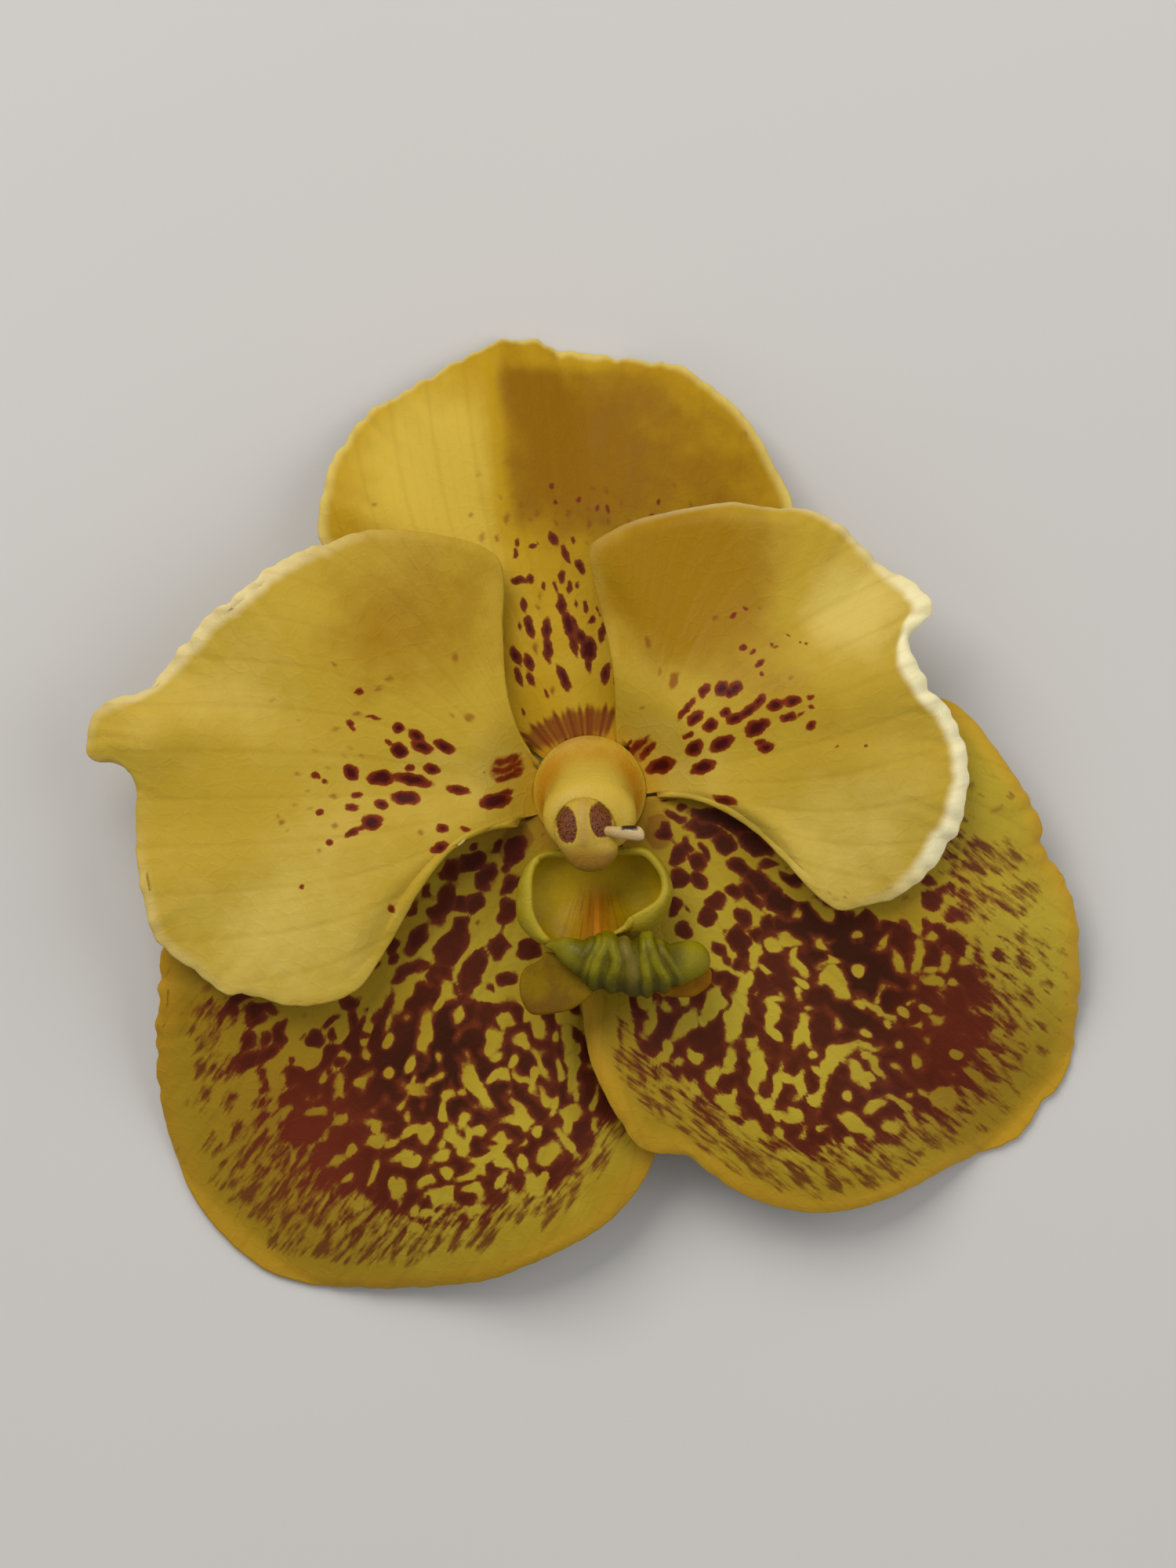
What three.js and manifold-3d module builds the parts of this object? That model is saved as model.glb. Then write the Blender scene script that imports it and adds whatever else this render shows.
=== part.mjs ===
// A vanda orchid bloom as picked. It lies face up on the tips of its three sepals and on its stalk.
// Millimetres, +Z up out of the bloom's face, +Y towards the dorsal sepal.
// Shapes are drawn round the middle of the column's foot, and the whole bloom is then moved so that
// the origin lies under the middle of its box, on the surface that it rests on.
import * as THREE from "three";
import { mergeVertices } from "three/addons/utils/BufferGeometryUtils.js";
import Module from "manifold-3d";

const wasm = await Module();
wasm.setup();

// Driving dimensions
const CLEARANCE = 0.3; // between pieces that touch
const BLADE_THICKNESS = 0.8; // sepals and petals
const RECEPTACLE_TOP = -0.5; // the face of the receptacle that the blades grow from
const RECEPTACLE_RADIUS = 7.2;
const REST_PLANE = -9.1; // the surface that the bloom lies on
const ROOT_RADIUS = 5.5; // of the ring where sepals and petals start, round the column
const COLUMN_FOOT_RADIUS = 5.1;
const STALK_RADIUS = 2.5;
const STALK_BEND_RADIUS = 4.3; // of its middle line, where it turns to lie along the surface
const STALK_LENGTH = 35.5; // along its middle line, without the swollen base
const STALK_HEADING = -106; // degrees from +X, the way it lies behind the lower sepals
const BASE_LENGTH = 12.5;
const BASE_RADIUS = 3.1;

// How finely a blade is divided, along its margin and from its root to its margin
const MARGIN_STEPS = 50;
const SEPAL_MARGIN_STEPS = 40;
const ROWS = [0, 0.13, 0.32, 0.52, 0.71, 0.86, 0.93, 1];
const ROLL_START = 0.86; // share of a vein's length where the margin begins to turn back
const ROLL_RADIUS = 1.7;
const VEIN_SPREAD = 0.35; // 0 lets veins run straight to the margin, 1 lets them follow the blade's axis
const LIFT_REACH = 7; // over which a blade takes its own height from its root's
const ROOT_HEIGHT = RECEPTACLE_TOP + CLEARANCE + BLADE_THICKNESS / 2 + 0.05; // of its middle surface

const TAU = 2 * Math.PI;
const radians = (degrees) => (degrees * Math.PI) / 180;
const smooth = (t) => THREE.MathUtils.smoothstep(t, 0, 1);
const mix = THREE.MathUtils.lerp;

// The blades. An outline runs anticlockwise from one side of the claw round the margin to the other,
// as x, y and the degrees that the margin is turned back there. rootAngle and rootSpread place the
// claw on the ring, aim is the way the blade points, and length and width are those over which it
// falls by tipFall and sideFall. A wave is amplitude, count along the margin and phase. A swell is
// x, y, height, two spreads and the angle of the first spread.
const PETAL_LEFT = {
  steps: MARGIN_STEPS,
  rootAngle: 181,
  rootSpread: 23,
  aim: 181,
  lift: 4.2,
  length: 44,
  tipFall: 2.6,
  tipPower: 2,
  width: 25,
  sideFall: 1.6,
  wave: [0.55, 6.5, 0.4],
  swells: [
    [-44, 5, 1.6, 3.5, 2.2, 10],
    [-30, 17, 0.9, 9, 3, -35],
    [-13, 0.5, -0.9, 9, 2.2, 0],
    [-26, -12, 0.8, 8, 4, 40],
  ],
  outline: [
    [-4.9, 2.9, 10],
    [-6.9, 5.4, 10],
    [-8.3, 10, 20],
    [-8.7, 16, 35],
    [-8.7, 22, 45],
    [-10.4, 24.3, 40],
    [-15.1, 25.6, 35],
    [-21.4, 26.2, 25],
    [-27.7, 24.5, 20],
    [-31.6, 22.7, 20],
    [-35.6, 19.5, 20],
    [-39.5, 16.3, 20],
    [-42.3, 12.6, 20],
    [-44.2, 10.4, 25],
    [-47.4, 9.4, 40],
    [-49.4, 8.2, 50],
    [-50.3, 5.1, 55],
    [-49.9, 3.2, 50],
    [-47, 2.8, 35],
    [-45.3, 1.3, 20],
    [-45.3, -2.5, 15],
    [-45.1, -7.5, 15],
    [-43.9, -13.2, 15],
    [-42.4, -15.9, 15],
    [-39.3, -18, 20],
    [-36.4, -20.3, 25],
    [-34.3, -20.2, 25],
    [-30.5, -21.2, 25],
    [-26.5, -21.1, 25],
    [-22.9, -19.4, 25],
    [-19.8, -14.8, 20],
    [-16.9, -9.7, 20],
    [-13.5, -5.5, 15],
    [-10.2, -3.8, 10],
    [-7.2, -3.4, 5],
  ],
};

const PETAL_RIGHT = {
  steps: MARGIN_STEPS,
  rootAngle: 20,
  rootSpread: 22,
  aim: 22,
  lift: 4.4,
  length: 40,
  tipFall: 1.8,
  tipPower: 2,
  width: 24,
  sideFall: 1.4,
  wave: [0.6, 6, 2.1],
  swells: [
    [24, 9, 2.2, 9, 4.5, 15],
    [10, 19, -1.2, 7, 6, 60],
    [13, 3, -0.8, 8, 2.2, 22],
    [27, -3, 0.8, 7, 5, 60],
  ],
  outline: [
    [6.9, -0.5, 5],
    [10.1, -0.6, 10],
    [13.6, -2, 15],
    [16.6, -4, 20],
    [19.5, -6.9, 20],
    [22.3, -10, 20],
    [25, -11.8, 25],
    [28.2, -11.1, 25],
    [30.5, -10.6, 30],
    [33.5, -8.5, 40],
    [35.7, -5.5, 55],
    [37, -3.5, 65],
    [37.8, 0.5, 75],
    [37.5, 5.1, 80],
    [36, 8, 80],
    [34.1, 10.2, 70],
    [32.6, 13, 55],
    [31.7, 14.8, 45],
    [32.5, 16.2, 45],
    [34.1, 17.7, 50],
    [33.8, 19.7, 55],
    [32.1, 21.1, 60],
    [29.8, 22.2, 65],
    [27.4, 24.6, 75],
    [24.6, 27, 85],
    [21.5, 28.2, 95],
    [17.6, 28.4, 100],
    [14, 28.9, 100],
    [9.3, 28.2, 95],
    [4.6, 27.1, 80],
    [1.4, 25.5, 60],
    [0, 24.2, 50],
    [0.5, 20.8, 40],
    [1.7, 16, 30],
    [2.7, 10.5, 20],
    [3.9, 5.6, 10],
  ],
};

const DORSAL_SEPAL = {
  steps: SEPAL_MARGIN_STEPS,
  rootAngle: 98,
  rootSpread: 36,
  aim: 96,
  lift: 0.3,
  length: 41,
  tipFall: 8.6,
  tipPower: 2.4,
  width: 26,
  sideFall: 1.5,
  wave: [0.7, 5.5, 1.2],
  swells: [
    [-14, 36, 1.2, 9, 5, 60],
    [12, 34, 0.8, 8, 5, -60],
    [1, 34, -0.7, 4, 8, 0],
  ],
  outline: [
    [2.9, 5.9, 5],
    [4.8, 9.2, 10],
    [10, 14, 15],
    [16.5, 18.8, 15],
    [20, 23.8, 15],
    [20.5, 28.7, 20],
    [18.8, 32.6, 25],
    [16.2, 37.4, 30],
    [12.6, 41, 40],
    [9.3, 43.3, 55],
    [3.8, 44.3, 75],
    [-0.2, 44.9, 80],
    [-3.5, 45.3, 80],
    [-5.3, 46.6, 85],
    [-7, 46, 85],
    [-9, 46.3, 85],
    [-12.7, 44.5, 80],
    [-17.5, 41.7, 70],
    [-22.2, 39, 60],
    [-25.7, 34.6, 45],
    [-27.2, 29.1, 30],
    [-27, 25, 20],
    [-22.5, 21.5, 15],
    [-15.5, 16.6, 15],
    [-9.9, 11.3, 10],
    [-5.6, 5.9, 5],
  ],
};

const LATERAL_LEFT = {
  steps: SEPAL_MARGIN_STEPS,
  rootAngle: 230,
  rootSpread: 19,
  aim: 233,
  lift: -0.9,
  length: 51,
  tipFall: 8.1,
  tipPower: 4,
  width: 30,
  sideFall: 1.2,
  wave: [0.6, 4.5, 0.2],
  swells: [
    [-36, -20, 1, 8, 6, 60],
    [-14, -40, 0.9, 12, 5, 20],
    [-24, -30, -0.6, 10, 4, 55],
    [5, -25, -1.3, 14, 4, 90],
  ],
  outline: [
    [-6, -3.7, 5],
    [-8.9, -4.7, 10],
    [-13.5, -5.2, 10],
    [-19, -7, 15],
    [-28, -9.9, 15],
    [-37, -12.2, 15],
    [-42.3, -14.6, 20],
    [-43.4, -18.5, 25],
    [-43.9, -24.5, 25],
    [-43.9, -30, 30],
    [-42.6, -36, 35],
    [-40.3, -41.7, 40],
    [-36.4, -46.4, 45],
    [-31.6, -49.6, 45],
    [-25.5, -50.6, 35],
    [-17.5, -50.5, 30],
    [-10.5, -49.5, 30],
    [-4.5, -47, 30],
    [1.2, -43.9, 30],
    [4.9, -40, 25],
    [6.7, -36, 20],
    [7, -30, 15],
    [5.4, -23, 10],
    [2.4, -15, 10],
    [-0.6, -9.4, 5],
    [-2, -6.8, 5],
  ],
};

const LATERAL_RIGHT = {
  steps: SEPAL_MARGIN_STEPS,
  rootAngle: 326,
  rootSpread: 22,
  aim: 322,
  lift: 0.9,
  length: 49,
  tipFall: 9.4,
  tipPower: 4,
  width: 27,
  sideFall: 1.8,
  wave: [0.6, 5, 2.6],
  swells: [
    [38, -10, 1.2, 9, 5, 70],
    [22, -36, 0.9, 12, 5, -10],
    [26, -18, -0.6, 12, 5, -30],
    [2, -28, 1.5, 8, 5, 90],
    [36, 3, -1.4, 9, 5, -40],
  ],
  outline: [
    [3.2, -5.9, 5],
    [1.4, -9.6, 10],
    [-0.1, -14.5, 20],
    [-0.7, -20.1, 35],
    [0, -26.4, 40],
    [2.2, -31.4, 40],
    [4.7, -35.4, 35],
    [7.1, -36.3, 30],
    [10.1, -36.8, 30],
    [14, -39.7, 30],
    [18.7, -41.8, 30],
    [24.5, -42.5, 30],
    [30.9, -40.9, 30],
    [37.6, -37.8, 30],
    [43.3, -35.7, 30],
    [46.4, -31.9, 35],
    [48.9, -28.5, 40],
    [49.9, -21.5, 50],
    [49.6, -14, 50],
    [48.2, -8.7, 50],
    [46.4, -6.2, 60],
    [45.1, -1.6, 75],
    [42.3, 2.4, 80],
    [38.4, 7.5, 70],
    [34.6, 9.4, 40],
    [27, 7, 20],
    [19.5, 4.4, 15],
    [12.3, 1.2, 10],
    [7, -1.4, 5],
  ],
};

// A smooth line through the outline's points. It gives the margin's place and turn at a share of
// its length.
function marginLine(outline) {
  const through = (points) => new THREE.CatmullRomCurve3(points, false, "catmullrom", 0.5);
  const plan = through(outline.map(([x, y]) => new THREE.Vector3(x, y, 0)));
  const turns = through(outline.map(([, , turn]) => new THREE.Vector3(turn, 0, 0)));
  plan.arcLengthDivisions = 800;
  return (share) => {
    const t = plan.getUtoTmapping(share);
    const along = plan.getTangent(t);
    return {
      place: plan.getPoint(t),
      outward: new THREE.Vector3(along.y, -along.x, 0),
      turn: radians(Math.max(turns.getPoint(t).x, 1)),
    };
  };
}

// The height of a blade's middle surface over a point of the plan
function bladeHeight(blade, point, u, v) {
  const rootAngle = radians(blade.rootAngle);
  const fromRoot = new THREE.Vector2(
    point.x - ROOT_RADIUS * Math.cos(rootAngle),
    point.y - ROOT_RADIUS * Math.sin(rootAngle),
  );
  const aim = radians(blade.aim);
  const along = fromRoot.x * Math.cos(aim) + fromRoot.y * Math.sin(aim);
  const across = fromRoot.y * Math.cos(aim) - fromRoot.x * Math.sin(aim);
  const [amplitude, count, phase] = blade.wave;
  const waviness = amplitude * smooth((v - 0.45) / 0.55);
  let z = blade.lift - blade.sideFall * (across / blade.width) ** 2;
  z -= blade.tipFall * Math.max(0, along / blade.length) ** blade.tipPower;
  z += waviness * Math.sin(TAU * count * u + phase);
  z += 0.5 * waviness * Math.sin(TAU * 1.7 * count * u + 2.3 * phase);
  for (const [x, y, height, long, short, angle] of blade.swells) {
    const turned = radians(angle);
    const dx = point.x - x;
    const dy = point.y - y;
    const p = (dx * Math.cos(turned) + dy * Math.sin(turned)) / long;
    const q = (dy * Math.cos(turned) - dx * Math.sin(turned)) / short;
    z += height * Math.exp(-0.5 * (p * p + q * q));
  }
  return ROOT_HEIGHT + z * smooth((Math.hypot(point.x, point.y) - ROOT_RADIUS) / LIFT_REACH);
}

// The point of a blade's middle surface on vein u, from 0 to 1 round the margin, at share v of that vein
function bladePoint(blade, margin, u, v) {
  const { place, outward, turn } = margin;
  const drawnIn = ROLL_RADIUS * Math.sin(Math.min(turn, Math.PI / 2));
  const crease = place.clone().addScaledVector(outward, -drawnIn);
  const rootAngle = radians(blade.rootAngle + (2 * u - 1) * blade.rootSpread);
  const aim = radians(blade.aim);
  const root = new THREE.Vector3(Math.cos(rootAngle), Math.sin(rootAngle), 0).multiplyScalar(ROOT_RADIUS);
  const half = crease.distanceTo(root) / 2;
  const ahead = root.clone().add(new THREE.Vector3(half * Math.cos(aim), half * Math.sin(aim), 0));
  const control = root.clone().lerp(crease, 0.5).lerp(ahead, VEIN_SPREAD);
  const vein = new THREE.QuadraticBezierCurve3(root, control, crease);
  const point = vein.getPoint(Math.min(v / ROLL_START, 1));
  const rolled = (turn * Math.max(0, v - ROLL_START)) / (1 - ROLL_START);
  point.addScaledVector(outward, ROLL_RADIUS * Math.sin(rolled));
  point.z = bladeHeight(blade, point, u, v) - ROLL_RADIUS * (1 - Math.cos(rolled));
  return point;
}

// Unit normals of a grid of points, towards the viewer
function gridNormals(grid) {
  const last = grid.length - 1;
  return grid.map((row, i) =>
    row.map((point, j) => {
      const across = grid[Math.min(i + 1, last)][j].clone().sub(grid[Math.max(i - 1, 0)][j]);
      const outwards = row[Math.min(j + 1, row.length - 1)].clone().sub(row[Math.max(j - 1, 0)]);
      return outwards.cross(across).normalize();
    }),
  );
}

// A closed blade of even thickness round a middle surface, with the same triangles on both faces
function thicken(grid, thickness) {
  const normals = gridNormals(grid);
  const columns = grid.length;
  const rows = grid[0].length;
  const positions = [];
  for (const side of [0.5, -0.5]) {
    grid.forEach((row, i) =>
      row.forEach((point, j) => {
        const moved = point.clone().addScaledVector(normals[i][j], side * thickness);
        positions.push(moved.x, moved.y, Math.max(moved.z, REST_PLANE));
      }),
    );
  }
  const top = (i, j) => i * rows + j;
  const under = (i, j) => columns * rows + i * rows + j;
  const index = [];
  for (let i = 0; i < columns - 1; i++) {
    for (let j = 0; j < rows - 1; j++) {
      index.push(top(i, j), top(i, j + 1), top(i + 1, j + 1), top(i, j), top(i + 1, j + 1), top(i + 1, j));
      index.push(under(i, j), under(i + 1, j + 1), under(i, j + 1));
      index.push(under(i, j), under(i + 1, j), under(i + 1, j + 1));
    }
  }
  const edge = [];
  for (let j = rows - 1; j > 0; j--) edge.push([0, j]);
  for (let i = 0; i < columns - 1; i++) edge.push([i, 0]);
  for (let j = 0; j < rows - 1; j++) edge.push([columns - 1, j]);
  for (let i = columns - 1; i > 0; i--) edge.push([i, rows - 1]);
  edge.forEach(([i, j], k) => {
    const [m, n] = edge[(k + 1) % edge.length];
    index.push(top(i, j), top(m, n), under(m, n), top(i, j), under(m, n), under(i, j));
  });
  return geometryOf(positions, index);
}

function geometryOf(positions, index) {
  return new THREE.BufferGeometry()
    .setAttribute("position", new THREE.Float32BufferAttribute(positions, 3))
    .setIndex(index);
}

function bladeGeometry(blade) {
  const margin = marginLine(blade.outline);
  const grid = [];
  for (let i = 0; i <= blade.steps; i++) {
    const u = i / blade.steps;
    const at = margin(u);
    grid.push(ROWS.map((v) => bladePoint(blade, at, u, v)));
  }
  return thicken(grid, BLADE_THICKNESS);
}

// A closed skin over rings of points, each ring anticlockwise seen from the last ring
function skin(rings) {
  const sides = rings[0].length;
  const middle = (ring) => ring.reduce((sum, p) => sum.add(p), new THREE.Vector3()).divideScalar(sides);
  const points = [...rings.flat(), middle(rings[0]), middle(rings.at(-1))];
  const first = rings.length * sides;
  const index = [];
  for (let k = 0; k < sides; k++) {
    const next = (k + 1) % sides;
    for (let r = 0; r < rings.length - 1; r++) {
      const a = r * sides + k;
      const b = r * sides + next;
      index.push(a, b, b + sides, a, b + sides, a + sides);
    }
    const end = (rings.length - 1) * sides;
    index.push(first, next, k, first + 1, end + k, end + next);
  }
  return geometryOf(points.flatMap((p) => [p.x, p.y, Math.max(p.z, REST_PLANE)]), index);
}

function ring(sides, place) {
  return Array.from({ length: sides }, (_, k) => place((TAU * (k + 0.5)) / sides));
}

// An egg with its long axes along X, Y and Z, then turned and moved
function egg(radii, centre, [turnX, turnY, turnZ] = [0, 0, 0], across = 20, down = 12) {
  return new THREE.SphereGeometry(1, across, down)
    .scale(...radii)
    .applyMatrix4(
      new THREE.Matrix4().makeRotationFromEuler(
        new THREE.Euler(radians(turnX), radians(turnY), radians(turnZ)),
      ),
    )
    .translate(...centre);
}

function solidOf(geometry) {
  const bare = geometry.clone().deleteAttribute("normal").deleteAttribute("uv");
  const merged = mergeVertices(bare, 1e-4);
  return new wasm.Manifold(
    new wasm.Mesh({
      numProp: 3,
      vertProperties: merged.attributes.position.array,
      triVerts: new Uint32Array(merged.index.array),
    }),
  );
}

function geometryFrom(solid) {
  const mesh = solid.getMesh();
  return geometryOf([...mesh.vertProperties], [...mesh.triVerts]);
}

// The column: a stout leaning stub on a round foot. Its rings are height, lean towards -Y,
// half width and half depth.
const COLUMN_RINGS = [
  [-0.15, 0, COLUMN_FOOT_RADIUS, COLUMN_FOOT_RADIUS],
  [0.9, -0.1, COLUMN_FOOT_RADIUS, COLUMN_FOOT_RADIUS],
  [2, -0.5, 4.7, 4.5],
  [4, -1.3, 4.5, 4.1],
  [6, -2, 4.6, 3.8],
  [7.8, -2.4, 4.6, 3.4],
  [9, -2.6, 4.1, 2.9],
  [9.7, -2.7, 3, 2],
  [9.9, -2.8, 1.4, 1],
];
const COLUMN_SIDES = 22;

function columnSkin(growth) {
  return skin(
    COLUMN_RINGS.map(([z, lean, wide, deep]) =>
      ring(
        COLUMN_SIDES,
        (a) =>
          new THREE.Vector3((wide + growth) * Math.cos(a), lean + (deep + growth) * Math.sin(a), z),
      ),
    ),
  );
}

// The anther cap: a blunt egg over the column's tip, drawn out into a beak towards the lip
const CAP_RADII = [3, 3.1, 2.2];
const CAP_CENTRE = [-0.5, -3.7, 9.3];
const BEAK_RADII = [2.8, 2.5, 1.6];
const BEAK_CENTRE = [-0.6, -5.5, 9.4];

function capSolid(growth) {
  const grown = (radii) => radii.map((r) => r + growth);
  const helmet = solidOf(egg(grown(CAP_RADII), CAP_CENTRE, [0, 0, 0], 18, 10));
  return helmet.add(solidOf(egg(grown(BEAK_RADII), BEAK_CENTRE, [-20, 0, 0], 16, 10)));
}

function columnGeometry() {
  return geometryFrom(solidOf(columnSkin(0)).subtract(capSolid(CLEARANCE)));
}

// The pollinarium: a slim peg that hangs out of the cap's right side
const PEG_RADIUS = 0.65;
const PEG_FROM = [1, -3.4, 10.4];
const PEG_TO = [5.2, -4.2, 11];

function pegGeometry() {
  const from = new THREE.Vector3(...PEG_FROM);
  const to = new THREE.Vector3(...PEG_TO);
  const length = from.distanceTo(to);
  const turn = new THREE.Quaternion().setFromUnitVectors(
    new THREE.Vector3(0, 1, 0),
    to.clone().sub(from).normalize(),
  );
  const middle = from.lerp(to, 0.5);
  const peg = new THREE.CapsuleGeometry(PEG_RADIUS, length - 2 * PEG_RADIUS, 4, 10)
    .applyQuaternion(turn)
    .translate(middle.x, middle.y, middle.z);
  return geometryFrom(solidOf(peg).subtract(capSolid(CLEARANCE)));
}

// The lip's cup: two side lobes that stand round a hollow, highest at its sides
const CUP_CENTRE = [0.5, -10.3];
const CUP_RADII = [7.8, 4.8];
const CUP_BOTTOM = 2.2;
const CUP_SIDE_HEIGHT = 5;
const CUP_FRONT_HEIGHT = 2.6;
const CUP_WALL = 1.2;
const CUP_ARC = 108; // degrees from its pole to its rim, past 90 where the lobes curl in
const CUP_SIDES = 28;
const CUP_ROWS = 6;

function cupPoint(angle, share) {
  const arc = radians(CUP_ARC) * share;
  const height = mix(CUP_FRONT_HEIGHT, CUP_SIDE_HEIGHT, Math.abs(Math.cos(angle)) ** 0.8);
  const rise = (1 - Math.cos(arc)) / (1 - Math.cos(radians(CUP_ARC)));
  return new THREE.Vector3(
    CUP_CENTRE[0] + CUP_RADII[0] * Math.sin(arc) * Math.cos(angle),
    CUP_CENTRE[1] + CUP_RADII[1] * Math.sin(arc) * Math.sin(angle),
    CUP_BOTTOM + height * rise,
  );
}

// One ring of the cup, on its outer face or moved in by its wall
function cupRing(share, depth) {
  const step = 1e-3;
  return ring(CUP_SIDES, (angle) => {
    const point = cupPoint(angle, share);
    const round = cupPoint(angle + step, share).sub(point);
    const up = cupPoint(angle, share + step).sub(point);
    return point.addScaledVector(up.cross(round).normalize(), depth);
  });
}

function cupGeometry() {
  const shares = Array.from({ length: CUP_ROWS }, (_, k) => (k + 1) / CUP_ROWS);
  const outer = shares.map((share) => cupRing(share, 0));
  const inner = shares.map((share) => cupRing(share, CUP_WALL)).reverse();
  return skin([...outer, ...inner]);
}

// The lip's middle lobe: a fleshy bar across its front, with keels over it. Its stations are x, y,
// half height and half depth, and it lies nearest the viewer at its middle.
const BAR_STATIONS = [
  [-4.4, -15.2, 0.3, 0.3],
  [-3.6, -15.5, 0.9, 0.9],
  [-2.2, -16, 1.5, 1.5],
  [-0.6, -16.5, 2.3, 2.1],
  [1.5, -16.7, 2.8, 2.5],
  [4.5, -16.9, 2.9, 2.6],
  [7.5, -17.2, 2.9, 2.5],
  [9.8, -17.4, 2.6, 2.3],
  [11.3, -17.3, 1.9, 1.7],
  [11.9, -17.1, 0.9, 0.9],
];
const BAR_FRONT = 8.6;
const BAR_MIDDLE = 4;
const BAR_FALL = 0.03; // how fast its ends draw back, per millimetre squared
const BAR_SIDES = 12;
const BAR_STEPS = 46;
const KEEL_PITCH = 1.6;
const KEEL_DEPTH = 0.08; // as a share of the bar's half height
const KEEL_FROM = -1.6;
const KEEL_TO = 8.4;
const KEEL_FAN = 0.045; // how much wider apart the keels lie for each millimetre down the bar
const KEEL_MIDDLE = 3.2;

function barGeometry() {
  const places = new THREE.CatmullRomCurve3(
    BAR_STATIONS.map(([x, y, high]) => new THREE.Vector3(x, y, high)),
    false,
    "catmullrom",
    0.5,
  );
  const depths = new THREE.CatmullRomCurve3(
    BAR_STATIONS.map(([, , , deep]) => new THREE.Vector3(deep, 0, 0)),
    false,
    "catmullrom",
    0.5,
  );
  const rings = [];
  for (let k = 0; k <= BAR_STEPS; k++) {
    const t = k / BAR_STEPS;
    const { x, y, z: high } = places.getPoint(t);
    const deep = depths.getPoint(t).x;
    const keeled = smooth((x - KEEL_FROM) / 1.5) * smooth((KEEL_TO - x) / 1.5);
    const z = BAR_FRONT - BAR_FALL * (x - BAR_MIDDLE) ** 2;
    rings.push(
      ring(BAR_SIDES, (a) => {
        const spread = KEEL_PITCH * (1 + KEEL_FAN * high * (1 - Math.cos(a)));
        const relief = 1 + KEEL_DEPTH * keeled * Math.cos((TAU * (x - KEEL_MIDDLE)) / spread);
        return new THREE.Vector3(x, y + relief * high * Math.cos(a), z + relief * deep * Math.sin(a));
      }),
    );
  }
  return skin(rings);
}

// The neck between cup and bar, and the two flaps that hang below the bar's ends
const NECK = [[4.2, 2.3, 3.4], [1.4, -14.9, 6]];
const LEFT_FLAP = [[3.8, 3.5, 0.95], [-3.7, -18.6, 6.1], [-22, -14, 0]];
const RIGHT_FLAP = [[3, 2.2, 0.95], [9.3, -18.4, 6.6], [-20, 18, 0]];

function lipGeometry() {
  return geometryFrom(
    solidOf(cupGeometry())
      .add(solidOf(barGeometry()))
      .add(solidOf(egg(...NECK, [0, 0, 0], 14, 8)))
      .add(solidOf(egg(...LEFT_FLAP, 16, 8)))
      .add(solidOf(egg(...RIGHT_FLAP, 14, 8)))
      .subtract(solidOf(columnSkin(CLEARANCE))),
  );
}

// The stalk's middle line: down out of the receptacle, round a quarter turn, then along the surface
const STALK_DROP = 1.9;
const LYING_HEIGHT = RECEPTACLE_TOP - STALK_DROP - STALK_BEND_RADIUS;

function stalkLine(travel) {
  const bend = (STALK_BEND_RADIUS * Math.PI) / 2;
  const heading = radians(STALK_HEADING);
  const turned = THREE.MathUtils.clamp((travel - STALK_DROP) / STALK_BEND_RADIUS, 0, Math.PI / 2);
  const out = STALK_BEND_RADIUS * (1 - Math.cos(turned)) + Math.max(0, travel - STALK_DROP - bend);
  const down = Math.min(travel, STALK_DROP) + STALK_BEND_RADIUS * Math.sin(turned);
  const ahead = new THREE.Vector3(Math.cos(heading), Math.sin(heading), 0);
  return {
    middle: ahead.clone().multiplyScalar(out).setZ(RECEPTACLE_TOP - down),
    side: new THREE.Vector3(-Math.sin(heading), Math.cos(heading), 0),
    back: ahead.multiplyScalar(Math.cos(turned)).setZ(Math.sin(turned)),
  };
}

const STALK_SIDES = 14;
const RIB_COUNT = 3;
const RIB_DEPTH = 0.1; // as a share of the radius
const RIB_TWIST = 0.02; // radians per millimetre
const RIB_START = Math.PI; // sets a rib along the underside
const FLATTENING = 0.15; // how far the underside is pressed flat where it lies on the surface

// A ring round the stalk's line, with its ribs. Two of its corners lie level at the bottom.
function stalkRing(travel, radius, ribbing, raised = 0) {
  const { middle, side, back } = stalkLine(travel);
  return ring(STALK_SIDES, (a) => {
    const ribs = 1 + ribbing * RIB_DEPTH * Math.cos(RIB_COUNT * a + RIB_START + RIB_TWIST * travel);
    const turn = a + Math.PI / 2;
    return middle
      .clone()
      .addScaledVector(side, radius * ribs * Math.cos(turn))
      .addScaledVector(back, radius * ribs * Math.sin(turn))
      .add(new THREE.Vector3(0, 0, raised));
  });
}

// Travel along the line, radius and how strongly it is ribbed
const RECEPTACLE_STATIONS = [
  [0, RECEPTACLE_RADIUS, 0],
  [0.5, 7, 0],
  [1.2, 5, 0.4],
  [2.1, 3.5, 0.8],
  [3.4, 2.8, 1],
];

function stalkGeometry() {
  const rings = RECEPTACLE_STATIONS.map(([travel, radius, ribbing]) => stalkRing(travel, radius, ribbing));
  for (let travel = 5; travel < STALK_LENGTH; travel += 2.2) {
    rings.push(stalkRing(travel, STALK_RADIUS, 1));
  }
  rings.push(stalkRing(STALK_LENGTH, STALK_RADIUS, 0.5));
  return skin(rings);
}

// Share of the base's length, and radius as a share of its fullest
const BASE_STATIONS = [
  [0, 0.76],
  [0.12, 0.86],
  [0.3, 0.97],
  [0.5, 1],
  [0.7, 0.95],
  [0.86, 0.8],
  [0.95, 0.66],
  [1, 0.6],
];

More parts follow.
